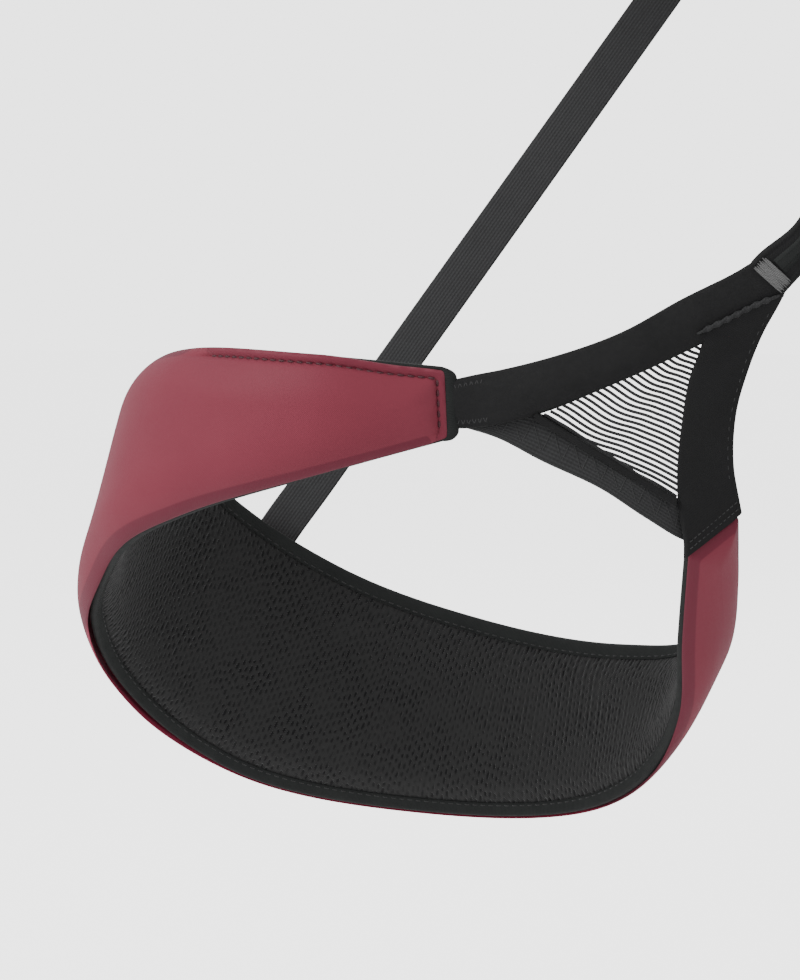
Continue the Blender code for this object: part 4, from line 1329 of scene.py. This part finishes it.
def buckle():
    """Frame, tipping slider and the webbing that anchors the frame to the left pad."""
    axes = (oval_tangent(BUCKLE_ANGLE), UPWARD, oval_normal(BUCKLE_ANGLE))
    size = (2 * FRAME_HALF_LENGTH, 2 * FRAME_HALF_HEIGHT)
    centre = strap_point(0.0, FRAME_THICKNESS / 2)
    ring_frame("buckle_frame", centre, axes, size, FRAME_BAR, FRAME_THICKNESS, METAL, "waist_belt",
               "aluminium", corner=1.2)
    middle = strap_point(SLIDER_BAR_T, SLIDER_BAR_N) + axes[0] * (SLIDER_LENGTH / 2 - SLIDER_BAR_RADIUS)
    bar = 2 * SLIDER_BAR_RADIUS
    ring_frame("buckle_slider", middle, axes, (SLIDER_LENGTH, 2 * SLIDER_HALF_HEIGHT), bar, bar - 0.4,
               METAL, "buckle_slider", "aluminium", corner=1.2)
    fold = arc((FRAME_HALF_LENGTH - FRAME_BAR / 2, FRAME_THICKNESS / 2), 3.9, 270, 90, 15)
    rows = [(24.0, -1.0), (17.0, -2.2)] + fold + [(17.0, 5.6), (25.0, 6.6), (34.0, TAIL_ON_PAD - 0.6)]
    path = smooth(np.array([strap_point(t, n) for t, n in rows]), np.linspace(0, 1, 70))
    place = strap_piece("buckle_anchor", path_edges(path, UPWARD, STRAP_WIDTH), STRAP_THICKNESS, BLACK_WEB,
                        "waist_belt", "black_webbing")
    box = box_lines(place.length - 14, place.length - 2, 0.12, 0.88)
    rows = stitch_lines(place, box, STRAP_THICKNESS / 2, 2.2, 1.6, 0.24)
    thread_piece("buckle_anchor_stitches", rows, GREY_THREAD, "waist_belt", "black_webbing")


def strap_keeper():
    """Elastic loop on the right pad that holds the strap's tail."""
    t = STRAP_TAIL_END + 14.0
    along = unit(strap_point(t + 1, 0) - strap_point(t - 1, 0))
    axes = (np.cross(along, UPWARD), UPWARD, along)
    size = (STRAP_THICKNESS + 3.2, STRAP_WIDTH + 4.0)
    ring_frame("strap_keeper", strap_point(t, TAIL_ON_PAD + 0.2), axes, size, 1.0, 11.0, HEM_ELASTIC,
               "waist_belt", "grey_elastic", corner=1.4)


# ---------------------------------------------------------------- tie-in loops

def whole_arch(rims, half_count):
    """Both halves of a tie-in loop that is drawn on one side."""
    return [np.vstack((edge, mirrored(edge[-2::-1], -1.0))) for edge in smooth_rims(rims, half_count)]


def plane_ring(top, bottom, radius, steps, straight):
    """Closed path in the YZ plane: two half circles joined by straight runs."""
    points = []
    for (y, z), goal, start in ((top, bottom, 0), (bottom, top, 180)):
        points += arc((y, z), radius, start, start + 180, steps)
        arrive = np.array((goal[0] - radius * math.cos(math.radians(start)), goal[1]))
        shares = np.linspace(0, 1, straight + 2)[1:-1, None]
        points += list(points[-1] + (arrive - points[-1]) * shares)
    return np.array([(0.0, y, z) for y, z in points])


def tie_in(name, rims, sleeve_z, core_start):
    """A tie-in loop with its raised core, and the wear sleeve round its middle."""
    edges = whole_arch(rims, 60)
    place = strap_piece(f"{name}_tie_in", edges, TIE_IN_THICKNESS, STRAP, "waist_belt", "black_webbing",
                        seams=(2.2,))
    strip = np.linspace(core_start, place.length - core_start, 110)
    low, high = (place(strip, np.full(110, share))[0] for share in (0.27, 0.76))
    core = lofted(strap_sections(low, high, TIE_IN_THICKNESS + 1.3))
    piece(f"{name}_tie_in_core", core, TAPE, "waist_belt", "black_webbing")
    reach_in = SLEEVE_HALF_DEPTH - SLEEVE_THICKNESS / 2
    drop = SLEEVE_HALF_HEIGHT - SLEEVE_THICKNESS / 2 - reach_in
    y = rims[-1][0][1]
    path = plane_ring((y, sleeve_z + drop), (y, sleeve_z - drop), reach_in, 17, 3)
    sections = strap_sections(*path_edges(path, SIDEWAYS, SLEEVE_LENGTH), SLEEVE_THICKNESS, closed=True)
    sleeve = lofted(sections, closed=True)
    node_piece(f"{name}_wear_sleeve", sleeve, PLASTIC, "waist_belt", "moulded_plastic")


def belay_loop():
    """Closed webbing loop with the lap of its sewn join in front, held by three bartacks."""
    path = plane_ring(BELAY_TOP, BELAY_BOTTOM, BELAY_RADIUS, 33, 30)
    sections = strap_sections(*path_edges(path, SIDEWAYS, BELAY_WIDTH), BELAY_THICKNESS, closed=True)
    builder = lofted(sections, closed=True)
    run = path[np.argsort(-path[:, 2])]
    front = run[(run[:, 1] < -127) & (run[:, 2] < -92) & (run[:, 2] > -166)]
    edges = path_edges(front + (0.0, -BELAY_THICKNESS / 2 - 0.6, 0.0), SIDEWAYS, BELAY_WIDTH - 0.6)
    builder.loft(strap_sections(*edges, 1.5))
    node_piece("belay_loop", builder, RED_WEB, "belay_loop", "red_webbing")
    place = strap_surface(*edges)
    sign = facing(place, (0.0, -1.0, 0.0))
    rows = []
    for start in (4.0, place.length / 2 - 2.0, place.length - 8.0):
        rows += bartack(place, start, start + 4.0, 0.10, 0.90, 0.85 * sign, 0.28, sign)
    thread_piece("belay_loop_bartacks", rows, BLACK_THREAD, "belay_loop", "red_webbing")


# ---------------------------------------------------------------- gear loops

def hanging_loop(name, first, last, top, depth, lean, side, finish, slot):
    """Moulded tube hung from two points of the belt, flattened at its sewn tips."""
    start = oval(first, GEAR_STANDOFF, top)
    end = oval(last, GEAR_STANDOFF, top)
    chord = unit(end - start)
    outward = np.cross(chord, UPWARD)
    middle = (start + end) / 2
    span = np.linalg.norm(end - start) / 2
    bulge = oval_normal((first + last) / 2) @ outward
    sag = np.linalg.norm(oval((first + last) / 2, 0, 0) - (oval(first, 0, 0) + oval(last, 0, 0)) / 2)
    a = np.pi * np.linspace(0, 1, 91)[:, None]
    reach = np.copysign(np.abs(np.cos(a)) ** 0.75, np.cos(a))
    fall = np.abs(np.sin(a)) ** 0.8
    path = middle - chord * span * reach - UPWARD * depth * fall
    path = resampled(path + outward * (lean + sag) * fall ** 1.5 * bulge, 1.6)
    tangent = unit(np.gradient(path, axis=0))
    facing = unit(outward - tangent * (tangent @ outward)[:, None])
    wide = np.cross(facing, tangent)
    share = np.linspace(0, 1, len(path))
    tip = eased(1 - 5 * np.minimum(share, 1 - share))[:, None]
    ring = np.radians(np.arange(16) * 22.5)
    across = (GEAR_RADIUS + (GEAR_TIP_HALF_WIDTH - GEAR_RADIUS) * tip) * np.cos(ring)
    through = (GEAR_RADIUS + (GEAR_TIP_HALF_THICKNESS - GEAR_RADIUS) * tip) * np.sin(ring)
    sections = path[:, None] + wide[:, None] * across[:, :, None] + facing[:, None] * through[:, :, None]
    node_piece(name, lofted(mirrored(sections, side)), finish, name, slot)


def tab(name, angle, top, half_width, side):
    """Sewn tab on the belt's outer face, over the tip of a loop, closed by two bartacks."""
    chord = mirrored(oval_tangent(angle) * half_width, side)
    heights = np.linspace(top + TAB_GAP, top + TAB_GAP + TAB_HEIGHT, 14)
    centre = mirrored([oval(angle, GEAR_STANDOFF, z) for z in heights], side)
    place = strap_piece(name, (centre - chord, centre + chord), TAB_THICKNESS, BLACK_WEB, "waist_belt",
                        "black_webbing")
    sign = facing(place, mirrored(oval_normal(angle), side))
    rows = []
    for start in (2.2, 7.6):
        rows += bartack(place, start, start + 2.4, 0.12, 0.88, TAB_THICKNESS / 2 * sign, 0.24, sign)
    thread_piece(f"{name}_bartacks", rows, DARK_RED_THREAD, "waist_belt", "black_webbing")


def gear_loops():
    for name, side in SIDES:
        for place, first, last in GEAR_LOOPS:
            hanging_loop(f"gear_loop_{place}_{name}", first, last, GEAR_Z, GEAR_DEPTH, GEAR_LEAN, side,
                         PLASTIC, "moulded_plastic")
            for end, angle in (("fore", first), ("aft", last)):
                tab(f"gear_tab_{place}_{end}_{name}", angle, GEAR_Z, TAB_HALF_WIDTH, side)
    hanging_loop("haul_loop", 180 - HAUL_ANGLE, 180 + HAUL_ANGLE, HAUL_Z, HAUL_DEPTH, GEAR_LEAN, 1.0,
                 RED_WEB, "red_webbing")
    tab("haul_tab", 180.0, HAUL_Z, 2.3 * TAB_HALF_WIDTH, 1.0)


# ---------------------------------------------------------------- stage

CAMERA_PLACE = (0.0, -1.5, -0.170)
CAMERA_TARGET = (-0.150, -0.060, -0.283)
CAMERA_LENS = 161.63
FLOOR_DROP = 0.12


def aimed(obj, place, target):
    obj.location = place
    obj.rotation_mode = "QUATERNION"
    obj.rotation_quaternion = (Vector(target) - Vector(place)).to_track_quat("-Z", "Y")
    bpy.context.scene.collection.objects.link(obj)


def camera():
    data = bpy.data.cameras.new("camera")
    data.sensor_width = 36.0
    data.lens = CAMERA_LENS
    view = bpy.data.objects.new("camera", data)
    aimed(view, CAMERA_PLACE, CAMERA_TARGET)
    bpy.context.scene.camera = view


def floor():
    half = 6.0
    level = CAD_BOX[0].z - FLOOR_DROP
    mesh = bpy.data.meshes.new("floor")
    corners = [(-half, -half, level), (half, -half, level), (half, half, level), (-half, half, level)]
    mesh.from_pydata(corners, [], [(0, 1, 2, 3)])
    mesh.materials.append(stage_paint())
    plane = bpy.data.objects.new("floor", mesh)
    bpy.context.scene.collection.objects.link(plane)


def light(name, place, size, power):
    data = bpy.data.lights.new(name, "AREA")
    data.size = size
    data.energy = power
    aimed(bpy.data.objects.new(name, data), place, (-0.1, 0.0, -0.25))


def studio():
    """White surroundings that the camera sees brighter than they light the object, and three lamps."""
    world = bpy.data.worlds.new("studio")
    world.use_nodes = True
    tree = world.node_tree
    background = tree.nodes["Background"]
    background.inputs["Color"].default_value = (1.0, 1.0, 1.0, 1.0)
    path = tree.nodes.new("ShaderNodeLightPath")
    seen = tree.nodes.new("ShaderNodeMath")
    seen.operation = "MULTIPLY_ADD"
    seen.inputs[1].default_value = CAMERA_GLOW
    seen.inputs[2].default_value = 0.8
    tree.links.new(path.outputs["Is Camera Ray"], seen.inputs[0])
    tree.links.new(seen.outputs[0], background.inputs["Strength"])
    bpy.context.scene.world = world
    light("key", (-1.4, -0.9, 0.9), 0.9, 30.0)
    light("fill", (1.3, -1.2, 0.2), 1.2, 5.0)
    light("back", (0.4, 1.5, 0.9), 1.0, 10.0)


def main():
    camera()
    floor()
    studio()
    for name, side in SIDES:
        padded_band(Band(f"leg_{{}}_{name}", f"leg_loop_{name}", smooth_rims(LEG_RIMS, 400), side, 3.0,
                         leg_insets, leg_swell, capped=(True, False)))
        yoke_straps(name, side)
        ladder_insert(name, side)
        hem_elastic(name, side)
        rear_riser(name, side)
        riser_hardware(name, side)
    padded_band(Band("waist_{}", "waist_belt", (waist_rim(1.0), waist_rim(-1.0)), 1.0, 11.0,
                     waist_insets, waist_swell))
    waist_strap()
    buckle()
    strap_keeper()
    tie_in("upper", UPPER_TIE_IN_RIMS, UPPER_SLEEVE_Z, 4.0)
    tie_in("lower", LOWER_TIE_IN_RIMS, LOWER_SLEEVE_Z, 5.6)
    belay_loop()
    gear_loops()


main()
